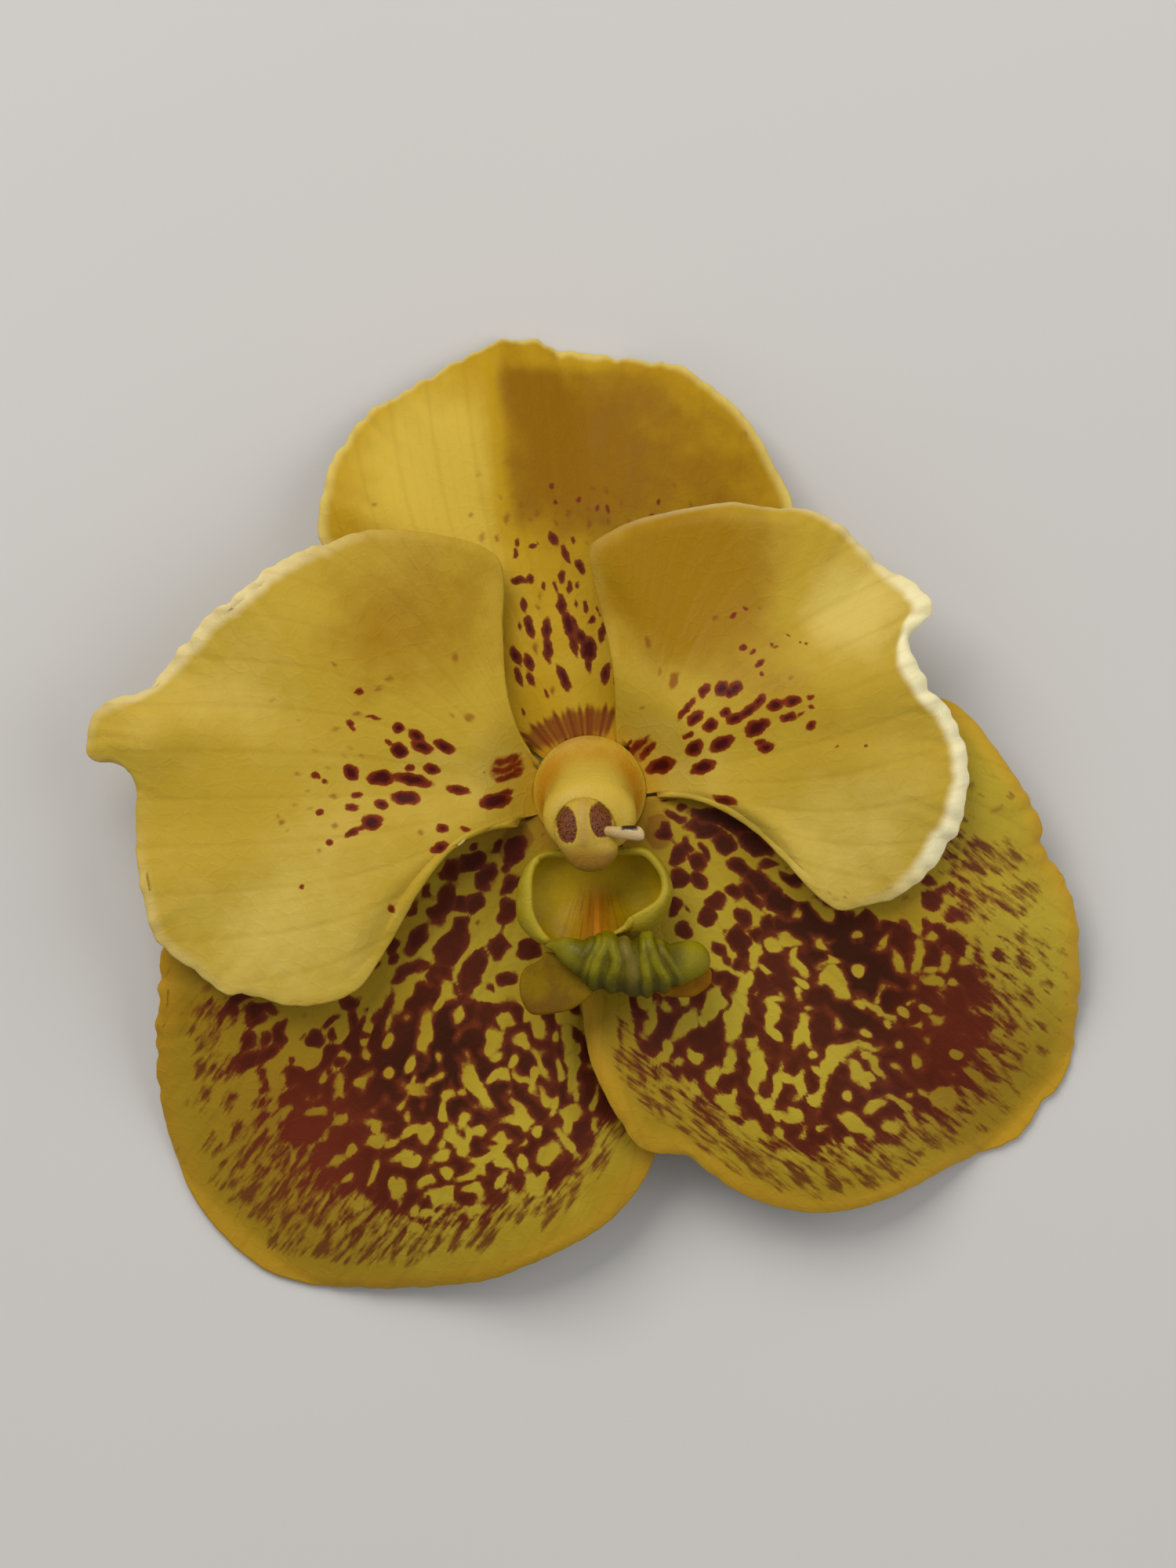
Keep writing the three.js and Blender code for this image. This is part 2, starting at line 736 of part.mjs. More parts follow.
function baseGeometry() {
  const start = STALK_LENGTH + CLEARANCE;
  return skin(
    BASE_STATIONS.map(([share, fullness]) => {
      const radius = BASE_RADIUS * fullness;
      const raised = Math.max(0, REST_PLANE + radius - FLATTENING - LYING_HEIGHT);
      return stalkRing(start + share * (BASE_LENGTH - CLEARANCE), radius, 0.35, raised);
    }),
  );
}

const flesh = (colour, roughness) =>
  new THREE.MeshStandardMaterial({ color: colour, roughness, metalness: 0 });

function piece(name, geometry, material) {
  const mesh = new THREE.Mesh(geometry, material);
  mesh.name = name;
  return mesh;
}

const petalFlesh = flesh(0xe3d07a, 0.55);
const spottedFlesh = flesh(0x9a5a35, 0.55);

const bloom = new THREE.Group();
bloom.add(
  piece("petal_left", bladeGeometry(PETAL_LEFT), petalFlesh),
  piece("petal_right", bladeGeometry(PETAL_RIGHT), petalFlesh),
  piece("dorsal_sepal", bladeGeometry(DORSAL_SEPAL), petalFlesh),
  piece("lateral_sepal_left", bladeGeometry(LATERAL_LEFT), spottedFlesh),
  piece("lateral_sepal_right", bladeGeometry(LATERAL_RIGHT), spottedFlesh),
  piece("lip", lipGeometry(), flesh(0x8c8423, 0.45)),
  piece("column", columnGeometry(), flesh(0xd8c670, 0.5)),
  piece("anther_cap", geometryFrom(capSolid(0)), flesh(0xe6dcb0, 0.45)),
  piece("pollinarium", pegGeometry(), flesh(0xe8ddbb, 0.4)),
  piece("flower_stalk", stalkGeometry(), flesh(0xd2c878, 0.5)),
  piece("stalk_base", baseGeometry(), flesh(0x7f8a2c, 0.5)),
);

// The bloom's box is centred over the origin and stands on the rest plane
const box = new THREE.Box3().setFromObject(bloom);
const boxMiddle = box.getCenter(new THREE.Vector3());
bloom.position.set(-boxMiddle.x, -boxMiddle.y, -REST_PLANE);

const orchid = new THREE.Group();
orchid.add(bloom);
export default orchid;
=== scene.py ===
"""A picked vanda orchid bloom: the looks of its stalk, sepals, petals, column and lip."""

import bpy
import numpy as np
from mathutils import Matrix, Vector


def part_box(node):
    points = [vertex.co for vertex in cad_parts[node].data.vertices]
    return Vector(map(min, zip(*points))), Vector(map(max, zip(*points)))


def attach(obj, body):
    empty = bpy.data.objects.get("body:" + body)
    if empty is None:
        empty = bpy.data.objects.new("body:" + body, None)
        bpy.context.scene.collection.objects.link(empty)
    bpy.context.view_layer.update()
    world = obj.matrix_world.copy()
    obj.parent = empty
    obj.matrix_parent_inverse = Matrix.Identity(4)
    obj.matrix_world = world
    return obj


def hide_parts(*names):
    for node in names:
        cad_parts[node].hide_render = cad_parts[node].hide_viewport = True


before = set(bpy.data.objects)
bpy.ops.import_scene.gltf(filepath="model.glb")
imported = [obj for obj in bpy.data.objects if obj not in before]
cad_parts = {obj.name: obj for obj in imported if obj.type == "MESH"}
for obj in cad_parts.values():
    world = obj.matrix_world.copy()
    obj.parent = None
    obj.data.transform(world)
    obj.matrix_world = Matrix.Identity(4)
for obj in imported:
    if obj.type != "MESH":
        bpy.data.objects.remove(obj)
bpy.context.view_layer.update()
bpy.ops.object.select_all(action="DESELECT")

# Swollen joint of the stalk
# The green knuckle where the flower's own stalk broke from the spike. It is solid living tissue,
# fatter than the stalk, with a dry dark ring round its broken end.
MM = 0.001
COLUMN_FOOT_RADIUS = 5.1
COLUMN_FOOT_HEIGHT = -0.15
REST_PLANE = -9.1
RECEPTACLE_TOP = -0.5
STALK_DROP = 1.9
STALK_BEND = 4.3
STALK_LENGTH = 35.5
STALK_HEADING = np.radians(-106)
BASE_LENGTH = 12.5
BASE_RADIUS = 3.1
STALK_RIBS = 3
RIB_TWIST = 0.02
CLEARANCE = 0.3

# The middle of the column's foot, from which every piece is drawn in millimetres
column_low, column_high = (np.array(corner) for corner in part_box("column"))
FOOT = np.array([
    (column_low[0] + column_high[0]) / 2,
    column_high[1] - COLUMN_FOOT_RADIUS * MM,
    column_low[2] - COLUMN_FOOT_HEIGHT * MM,
])


def smooth(share):
    share = np.clip(share, 0, 1)
    return share * share * (3 - 2 * share)


def catmull(points, share):
    """Places on a smooth line through points, at shares of its run from 0 to 1"""
    points = np.asarray(points, float)
    run = np.vstack([2 * points[0] - points[1], points, 2 * points[-1] - points[-2]])
    at = np.clip(share, 0, 1) * (len(points) - 1)
    first = np.minimum(at.astype(int), len(points) - 2)
    t = (at - first)[:, None]
    before, start, end, after = (run[first + k] for k in range(4))
    leave, arrive = (end - before) / 2, (after - start) / 2
    bend = (2 * start - 2 * end + leave + arrive) * t**3
    return bend + (3 * end - 3 * start - 2 * leave - arrive) * t**2 + leave * t + start


def sheet(name, points, **fields):
    """A grid laid through points [column, row, xyz], closed where its edges meet, which keeps the fields"""
    columns, rows = points.shape[:2]
    bpy.ops.mesh.primitive_grid_add(x_subdivisions=columns - 1, y_subdivisions=rows - 1, size=1)
    piece = bpy.context.object
    piece.name = piece.data.name = name
    mesh = piece.data
    flat = np.empty(len(mesh.vertices) * 3)
    mesh.vertices.foreach_get("co", flat)
    flat = flat.reshape(-1, 3) + 0.5
    column = np.rint(flat[:, 0] * (columns - 1)).astype(int)
    row = np.rint(flat[:, 1] * (rows - 1)).astype(int)
    placed = points[column, row]
    placed[:, 2] = np.maximum(placed[:, 2], REST_PLANE)
    mesh.vertices.foreach_set("co", (FOOT + placed * MM).ravel())
    for label, values in fields.items():
        layer = mesh.attributes.new(label, "FLOAT", "POINT")
        values = np.broadcast_to(values, points.shape[:2])[column, row]
        layer.data.foreach_set("value", values.astype(np.float32))
    bpy.ops.object.mode_set(mode="EDIT")
    bpy.ops.mesh.select_all(action="SELECT")
    bpy.ops.mesh.remove_doubles(threshold=1e-6)
    bpy.ops.mesh.normals_make_consistent(inside=False)
    bpy.ops.object.mode_set(mode="OBJECT")
    bpy.ops.object.shade_smooth()
    bpy.ops.object.select_all(action="DESELECT")
    return piece


def capped(rings):
    """Rings [ring, point, xyz] with the first point repeated, and both ends drawn to their middles"""
    ends = [np.repeat(ring[:-1].mean(0)[None], len(ring), 0) for ring in (rings[0], rings[-1])]
    return np.concatenate([ends[0][None], rings, ends[1][None]]).transpose(1, 0, 2)


def stalk_rings(travel, radius, ribbing, raised, sides):
    """Rings round the stalk's middle line, which drops out of the bloom and turns along the surface"""
    turned = np.clip((travel - STALK_DROP) / STALK_BEND, 0, np.pi / 2)
    bend = STALK_BEND * np.pi / 2
    out = STALK_BEND * (1 - np.cos(turned)) + np.maximum(0, travel - STALK_DROP - bend)
    down = np.minimum(travel, STALK_DROP) + STALK_BEND * np.sin(turned)
    ahead = np.array([np.cos(STALK_HEADING), np.sin(STALK_HEADING), 0])
    side = np.array([-ahead[1], ahead[0], 0])
    up = np.array([0, 0, 1])
    middle = out[:, None] * ahead + (RECEPTACLE_TOP - down + raised)[:, None] * up
    back = np.cos(turned)[:, None] * ahead + np.sin(turned)[:, None] * up
    angle = np.linspace(0, 2 * np.pi, sides + 1)
    ribs = np.cos(STALK_RIBS * angle + np.pi + RIB_TWIST * travel[:, None])
    ribs = 1 + ribbing[:, None] * 0.1 * ribs
    reach = radius[:, None] * ribs
    across = (reach * -np.sin(angle))[..., None] * side
    return middle[:, None] + across + (reach * np.cos(angle))[..., None] * back[:, None]


def plug(tree, made, values):
    """Links or sets the sockets of a shader node"""
    for name, value in values.items():
        if isinstance(value, bpy.types.NodeSocket):
            tree.links.new(value, made.inputs[name])
        else:
            made.inputs[name].default_value = value


def node(tree, kind, values=None, out=0, **settings):
    """A shader node with its sockets linked or set, and the socket that it puts out"""
    made = tree.nodes.new("ShaderNode" + kind)
    for name, value in settings.items():
        setattr(made, name, value)
    plug(tree, made, values or {})
    return made.outputs[out]


def maths(tree, operation, first, second=0.0):
    return node(tree, "Math", {0: first, 1: second}, operation=operation)


def times(tree, first, second):
    return maths(tree, "MULTIPLY", first, second)


def millimetres(tree):
    """Places on the piece in millimetres"""
    place = node(tree, "TexCoord", out="Object")
    return node(tree, "VectorMath", {0: place, "Scale": 1 / MM}, operation="SCALE")


def slope(tree, value, low, high, bottom=0.0, top=1.0):
    """Value from low to high, eased into bottom to top"""
    values = {"Value": value, "From Min": low, "From Max": high, "To Min": bottom, "To Max": top}
    return node(tree, "MapRange", values, interpolation_type="SMOOTHSTEP")


def tinted(tree, share, first, second, blend="MIX"):
    values = {0: share, 6: first, 7: second}
    return node(tree, "Mix", values, out=2, data_type="RGBA", blend_type=blend)


def field(tree, name):
    return node(tree, "Attribute", out="Fac", attribute_name=name)


def paint(red, green, blue):
    """A paint colour from its display values, 0 to 255"""
    shares = np.array([red, green, blue]) / 255
    linear = np.where(shares < 0.04, shares / 12.92, ((shares + 0.055) / 1.055) ** 2.4)
    return (*linear, 1.0)


def new_group(name, inputs, outputs):
    """An empty shader group, with its inputs' defaults, and its own input and output nodes"""
    group = bpy.data.node_groups.new(name, "ShaderNodeTree")
    for label, value in inputs.items():
        socket = group.interface.new_socket(label, in_out="INPUT", socket_type="NodeSocketFloat")
        socket.default_value = value
    for label in outputs:
        group.interface.new_socket(label, in_out="OUTPUT", socket_type="NodeSocketFloat")
    return group, group.nodes.new("NodeGroupInput"), group.nodes.new("NodeGroupOutput")


# Living skin, shared by every piece: soft blotches of tone, a fine grain of cells and the net of
# small veins that stands up a little from it. Scale is 1 on the petals and larger on small parts.
skin, skin_in, skin_out = new_group("Living skin", {"Scale": 1.0}, ["Mottle", "Grain", "Relief"])
scaled = {0: millimetres(skin), "Scale": skin_in.outputs["Scale"]}
scaled = node(skin, "VectorMath", scaled, operation="SCALE")
mottle = node(skin, "TexNoise", {"Vector": scaled, "Scale": 0.28, "Detail": 3.0, "Roughness": 0.55})
grain = node(skin, "TexNoise", {"Vector": scaled, "Scale": 3.2, "Detail": 2.0})
bent = node(skin, "TexNoise", {"Vector": scaled, "Scale": 0.5}, out="Color")
wander = node(skin, "VectorMath", {0: bent, "Scale": 1.6}, operation="SCALE")
wandering = node(skin, "VectorMath", {0: scaled, 1: wander}, operation="ADD")
net = node(skin, "TexVoronoi", {"Vector": wandering, "Scale": 0.55}, feature="DISTANCE_TO_EDGE")
cells = node(skin, "TexVoronoi", {"Vector": scaled, "Scale": 5.5}, feature="F1")
ridges = slope(skin, net, 0.0, 0.14, 1.0, 0.0)
relief = maths(skin, "ADD", times(skin, ridges, 0.35), times(skin, cells, -0.25))
for label, value in {"Mottle": mottle, "Grain": grain, "Relief": relief}.items():
    skin.links.new(value, skin_out.inputs[label])


def flesh(name, roughness, colour, scale=1.0, bump=0.1, soft=0.12, coat=0.0, shine=0.22):
    """A material of living flesh. colour(tree, skin node) gives its base colour and extra height"""
    material = bpy.data.materials.new(name)
    material.use_nodes = True
    tree = material.node_tree
    shader = tree.nodes["Principled BSDF"]
    surface = tree.nodes.new("ShaderNodeGroup")
    surface.node_tree = skin
    surface.inputs["Scale"].default_value = scale
    base, height = colour(tree, surface)
    tree.links.new(base, shader.inputs["Base Color"])
    rough = slope(tree, surface.outputs["Mottle"], 0.3, 0.7, roughness - 0.06, roughness + 0.06)
    tree.links.new(rough, shader.inputs["Roughness"])
    total = surface.outputs["Relief"]
    if height is not None:
        total = maths(tree, "ADD", total, height)
    bumped = node(tree, "Bump", {"Height": total, "Strength": 0.5, "Distance": bump * MM})
    tree.links.new(bumped, shader.inputs["Normal"])
    shader.inputs["Subsurface Weight"].default_value = soft
    shader.inputs["Subsurface Radius"].default_value = (1.0, 0.55, 0.12)
    shader.inputs["Subsurface Scale"].default_value = 1.2 * MM
    shader.inputs["Specular IOR Level"].default_value = shine
    shader.inputs["Coat Weight"].default_value = coat
    shader.inputs["Coat Roughness"].default_value = 0.3
    return material


def fit(piece, material, slot, *nodes):
    piece.data.materials.clear()
    piece.data.materials.append(material)
    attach(piece, "root")
    if nodes:
        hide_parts(*nodes)


BASE_STATIONS = [
    [0, 0.70], [0.03, 0.80], [0.12, 0.87], [0.3, 0.97], [0.5, 1], [0.7, 0.95], [0.84, 0.82],
    [0.885, 0.70], [0.91, 0.74], [0.95, 0.73], [0.975, 0.66], [1, 0.56],
]
BASE_RINGS = 90
BASE_SIDES = 96
base_share, fullness = catmull(BASE_STATIONS, np.linspace(0, 1, BASE_RINGS)).T
base_radius = BASE_RADIUS * fullness
lying = RECEPTACLE_TOP - STALK_DROP - STALK_BEND
base_raised = np.maximum(0, REST_PLANE + base_radius - 0.15 - lying)
base_travel = STALK_LENGTH + CLEARANCE + base_share * (BASE_LENGTH - CLEARANCE)
base_rings = stalk_rings(base_travel, base_radius, np.full(BASE_RINGS, 0.35), base_raised, BASE_SIDES)
base_along = np.concatenate([[0], base_share, [1]])[None]
stalk_base = sheet("stalk_base", capped(base_rings), along=base_along)


def base_colour(tree, surface):
    along = field(tree, "along")
    tone = slope(tree, surface.outputs["Mottle"], 0.35, 0.65)
    green = tinted(tree, tone, paint(92, 92, 14), paint(122, 122, 32))
    pale = tinted(tree, slope(tree, along, 0.0, 0.3, 0.75, 0.0), green, paint(160, 146, 50))
    dark = slope(tree, along, 0.82, 0.9)
    browned = tinted(tree, times(tree, dark, 0.85), pale, paint(58, 44, 22))
    end = tinted(tree, slope(tree, along, 0.965, 1.0), browned, paint(128, 106, 62))
    return end, times(tree, surface.outputs["Grain"], 0.8)


fit(stalk_base, flesh("Joint green", 0.5, base_colour, scale=1.6), "stalk_base", "stalk_base")

# Stalk
# The flower's own stalk, pale yellow-green and as firm as asparagus, with ridges that turn slowly
# round it. It flares into the receptacle that carries the sepals and petals.
RECEPTACLE_STATIONS = [[0, 7.2, 0], [0.5, 7, 0], [1.2, 5, 0.4], [2.1, 3.5, 0.8], [3.4, 2.8, 1], [5, 2.5, 1]]
STALK_RINGS = 150
STALK_SIDES = 112
flare = catmull(RECEPTACLE_STATIONS, np.linspace(0, 1, 60))
shaft = np.linspace(5, STALK_LENGTH, STALK_RINGS)[1:]
shaft = np.stack([shaft, np.full_like(shaft, 2.5), 1 - 0.5 * smooth((shaft - 33.5) / 2)], axis=1)
stalk_run = np.vstack([flare, shaft])
stalk_travel, stalk_radius, stalk_ribbing = stalk_run.T
stalk_rest = stalk_rings(stalk_travel, stalk_radius, stalk_ribbing, np.zeros(len(stalk_run)), STALK_SIDES)
stalk_along = np.concatenate([[0], stalk_travel, [STALK_LENGTH]])[None]
stalk_angle = np.linspace(0, 2 * np.pi, STALK_SIDES + 1)[:, None]
stalk_groove = 0.5 - 0.5 * np.cos(STALK_RIBS * stalk_angle + np.pi + RIB_TWIST * stalk_along)
flower_stalk = sheet("flower_stalk", capped(stalk_rest), along=stalk_along, groove=stalk_groove)


def mottled(tree, surface, first, second):
    """One colour that runs into another in soft blotches"""
    return tinted(tree, slope(tree, surface.outputs["Mottle"], 0.3, 0.7), first, second)


def stalk_colour(tree, surface):
    along = field(tree, "along")
    pale = mottled(tree, surface, paint(186, 166, 66), paint(202, 186, 96))
    grooved = tinted(tree, times(tree, field(tree, "groove"), 0.45), pale, paint(150, 132, 36))
    top = tinted(tree, slope(tree, along, 9.0, 1.0, 0.0, 0.6), grooved, paint(214, 190, 96))
    greener = tinted(tree, slope(tree, along, 22.0, 35.5, 0.0, 0.45), top, paint(150, 148, 48))
    return greener, times(tree, surface.outputs["Grain"], 0.5)


fit(flower_stalk, flesh("Stalk flesh", 0.45, stalk_colour, scale=1.5), "stalk", "flower_stalk")

# Dorsal sepal
# The broad sepal behind the bloom's top: one fleshy blade on a narrow claw, grown in one piece. It
# is yellow with a waved margin that turns back. Flecks follow its veins and a red comb lies on its claw.
ROOT_RADIUS = 5.5
ROOT_HEIGHT = 0.25
ROLL_START = 0.86
ROLL_RADIUS = 1.7
VEIN_SPREAD = 0.9
LIFT_REACH = 7
RIM_TURNS = np.radians([60, 25, -25, -60])
BACK_ROWS = 40
MARGIN_PLACES = 2401
SPREAD_ROUNDS = 500
MIDDLE_THICKNESS = 0.8
MARGIN_THICKNESS = 0.5
MARGIN_INSET = 0.1


def ripple(at, lengths, seed):
    """A gentle random wave of about unit height, made of waves of the given lengths"""
    phases = np.random.default_rng(seed).uniform(0, 2 * np.pi, len(lengths))
    waves = [np.sin(2 * np.pi * at / length + phase) for length, phase in zip(lengths, phases)]
    return sum(waves) / np.sqrt(len(lengths))


def lumps(plan, places):
    """The sum of round lumps, each x, y, height and spread, over places of the plan"""
    total = np.zeros(plan.shape[:-1])
    for x, y, height, spread in places:
        total += height * np.exp(-0.5 * ((plan[..., 0] - x) ** 2 + (plan[..., 1] - y) ** 2) / spread**2)
    return total


def unit(vectors):
    return vectors / np.maximum(np.linalg.norm(vectors, axis=-1, keepdims=True), 1e-9)


def eased(values, spread):
    """Values [place, ...] evened out along a line by a bell of that many places"""
    reach = int(3 * spread)
    bell = np.exp(-0.5 * (np.arange(-reach, reach + 1) / spread) ** 2)
    padded = np.pad(values, [(reach, reach)] + [(0, 0)] * (values.ndim - 1), "edge")
    return sum(weight * padded[k:k + len(values)] for k, weight in enumerate(bell / bell.sum()))


def uncrossed(plan):
    """A grid of places whose edges stay and whose inner lines are moved until none cross"""
    for _ in range(SPREAD_ROUNDS):
        across = (plan[2:, 1:-1] - plan[:-2, 1:-1]) / 2
        out = (plan[1:-1, 2:] - plan[1:-1, :-2]) / 2
        a, b, c = ((p * q).sum(-1, keepdims=True) for p, q in ((out, out), (across, out), (across, across)))
        corners = plan[2:, 2:] - plan[:-2, 2:] - plan[2:, :-2] + plan[:-2, :-2]
        sides = a * (plan[2:, 1:-1] + plan[:-2, 1:-1]) + c * (plan[1:-1, 2:] + plan[1:-1, :-2])
        plan[1:-1, 1:-1] = (sides - b * corners / 2) / (2 * (a + c) + 1e-9)
    return plan


def margin_line(outline, share):
    """Place, outward direction, turn in radians and run of the margin at shares of its length"""
    outline = np.asarray(outline, float)
    fine = np.linspace(0, 1, MARGIN_PLACES)
    line = catmull(outline[:, :2], fine)
    run = np.concatenate([[0], np.cumsum(np.hypot(*np.diff(line, axis=0).T))])
    even = np.linspace(0, run[-1], MARGIN_PLACES)
    place = np.stack([np.interp(even, run, line[:, k]) for k in (0, 1)], axis=1)
    turn = np.interp(even, run, catmull(outline[:, 2:], fine)[:, 0])
    ahead = unit(np.gradient(place, axis=0))
    ahead, turn = unit(eased(ahead, 1.6 / even[1])), eased(turn, 1.6 / even[1])
    picked = np.interp(share, np.linspace(0, 1, MARGIN_PLACES), np.arange(MARGIN_PLACES))
    rows = (*place.T, ahead[:, 1], -ahead[:, 0], turn)
    rows = [np.interp(picked, np.arange(MARGIN_PLACES), row) for row in rows]
    return np.stack(rows[:2], 1), np.stack(rows[2:4], 1), np.radians(np.maximum(rows[4], 1)), share * run[-1]


def along_across(blade, plan):
    """Millimetres along and across the blade's axis from the middle of its root"""
    root, aim = np.radians(blade["root"][0]), np.radians(blade["aim"])
    x, y = plan[..., 0] - ROOT_RADIUS * np.cos(root), plan[..., 1] - ROOT_RADIUS * np.sin(root)
    return x * np.cos(aim) + y * np.sin(aim), y * np.cos(aim) - x * np.sin(aim)


def vein_course(blade, plan):
    """Which vein a place lies on (-1 to 1 across), millimetres per unit of it, and its direction"""
    along, across = along_across(blade, plan)
    half, narrow = blade["spread"], 2.4
    opened = np.maximum(along, 0) / 13
    gap = narrow + (half - narrow) * (1 - np.exp(-(opened**1.4)))
    grows = (half - narrow) * np.exp(-(opened**1.4)) * 1.4 * opened**0.4 / 13
    vein = across / gap
    aim = np.radians(blade["aim"])
    tilt = vein * grows
    way = [np.cos(aim) - tilt * np.sin(aim), np.sin(aim) + tilt * np.cos(aim)]
    return vein, gap, unit(np.stack(way, axis=-1))


def blade_height(blade, plan, u, v):
    """Height of the middle surface over the plan: its lift, its fall to tip and sides, waves and swells"""
    along, across = along_across(blade, plan)
    x, y = plan[..., 0], plan[..., 1]
    lift, length, tip_fall, tip_power, width, side_fall = blade["form"]
    size, count, phase = blade["wave"]
    wave = size * smooth((v - 0.45) / 0.55)
    z = lift - side_fall * (across / width) ** 2 - tip_fall * np.maximum(0, along / length) ** tip_power
    z = z + wave * np.sin(2 * np.pi * count * u + phase)
    z = z + 0.5 * wave * np.sin(2 * np.pi * 1.7 * count * u + 2.3 * phase)
    for swell_x, swell_y, height, long, short, turn in blade["swells"]:
        turn = np.radians(turn)
        p = ((x - swell_x) * np.cos(turn) + (y - swell_y) * np.sin(turn)) / long
        q = ((y - swell_y) * np.cos(turn) - (x - swell_x) * np.sin(turn)) / short
        z = z + height * np.exp(-0.5 * (p * p + q * q))
    z = z * smooth((np.hypot(x, y) - ROOT_RADIUS) / LIFT_REACH)
    flanks = smooth((np.abs(across) - 3) / 1.5) * smooth((14 - np.hypot(x, y)) / 6)
    return ROOT_HEIGHT + z - blade["tuck"] * flanks


def blade_lines(blade, u):
    """Margin, crease, turn and crinkle of the blade, and its grid of places from root to crease"""
    place, outward, turn, run = margin_line(blade["outline"], u)
    crisp = np.clip(0.12 + lumps(place, blade["crisp"]), 0, 1) * smooth((np.hypot(*place.T) - 8) / 8)
    nibbled = crisp * (1 + ripple(run, (1.9, 2.9, 4.1, 5.9, 8.3), blade["seed"])) / 2
    place = place - outward * (MARGIN_INSET + blade["frill"][1] * np.maximum(nibbled, 0))[:, None]
    crease = eased(place - outward * (ROLL_RADIUS * np.sin(np.minimum(turn, np.pi / 2)))[:, None], 6)
    angle = np.radians(blade["root"][0] + (2 * u - 1) * blade["root"][1])
    root = ROOT_RADIUS * np.stack([np.cos(angle), np.sin(angle)], axis=1)
    aim = np.radians(blade["aim"])
    half = np.hypot(*(crease - root).T)[:, None] / 2
    ahead = root + half * [np.cos(aim), np.sin(aim)]
    control = (root + crease) / 2 * (1 - VEIN_SPREAD) + ahead * VEIN_SPREAD
    t = np.linspace(0, 1, 61)[None, :, None]
    root, control, end = root[:, None], control[:, None], crease[:, None]
    plan = uncrossed((1 - t) ** 2 * root + 2 * t * (1 - t) * control + t**2 * end)
    crinkle = blade["frill"][0] * crisp * ripple(run, (2.1, 2.9, 3.9, 5.3, 8.1), blade["seed"] + 2)
    return place, crease, turn, crinkle, plan


def blade_middle(blade, lines, u, v):
    """The blade's middle surface [column, row, xyz]: share u of the margin, share v out to it"""
    place, crease, turn, crinkle, plan = lines
    at = np.minimum(v / ROLL_START, 1) * (plan.shape[1] - 1)
    first = np.minimum(at.astype(int), plan.shape[1] - 2)
    part = (at - first)[None, :, None]
    plan = plan[:, first] * (1 - part) + plan[:, first + 1] * part
    rolled = turn[:, None] * (np.maximum(0, v - ROLL_START) / (1 - ROLL_START))
    reached = np.sin(rolled) / np.sin(np.minimum(turn, np.pi / 2))[:, None]
    plan = plan + (place - crease)[:, None] * reached[..., None]
    height = eased(blade_height(blade, plan, u[:, None], v) - ROLL_RADIUS * (1 - np.cos(rolled)), 4)
    height += crinkle[:, None] * smooth((v - 0.74) / 0.26)
    lowest = REST_PLANE + MARGIN_THICKNESS
    height = lowest + np.logaddexp(0, (height - lowest) * 5) / 5
    return np.concatenate([plan, height[..., None]], axis=-1)


def fleck_fields(plan, flecks):
    """Millimetres inside the dark flecks, below zero outside, and the share of a faint fleck's red"""
    wobble_x = 0.08 * ripple(plan[..., 1] + 0.6 * plan[..., 0], (1.1, 1.9, 2.9), 11)
    wobble_y = 0.08 * ripple(plan[..., 0] - 0.5 * plan[..., 1], (1.3, 2.1, 3.3), 12)
    dark = np.full(plan.shape[:-1], -1.0)
    faint = np.zeros(plan.shape[:-1])
    for x, y, long, short, angle, strength in flecks:
        angle = np.radians(angle)
        dx, dy = plan[..., 0] + wobble_x - x, plan[..., 1] + wobble_y - y
        p = (dx * np.cos(angle) + dy * np.sin(angle)) / (long / 2)
        q = (dy * np.cos(angle) - dx * np.sin(angle)) / (short / 2)
        inside = (1 - np.hypot(p, q)) * min(long, short) / 2
        if strength >= 0.75:
            dark = np.maximum(dark, inside)
        else:
            faint = np.maximum(faint, strength * smooth(inside / 0.24 + 0.5))
    return dark, faint


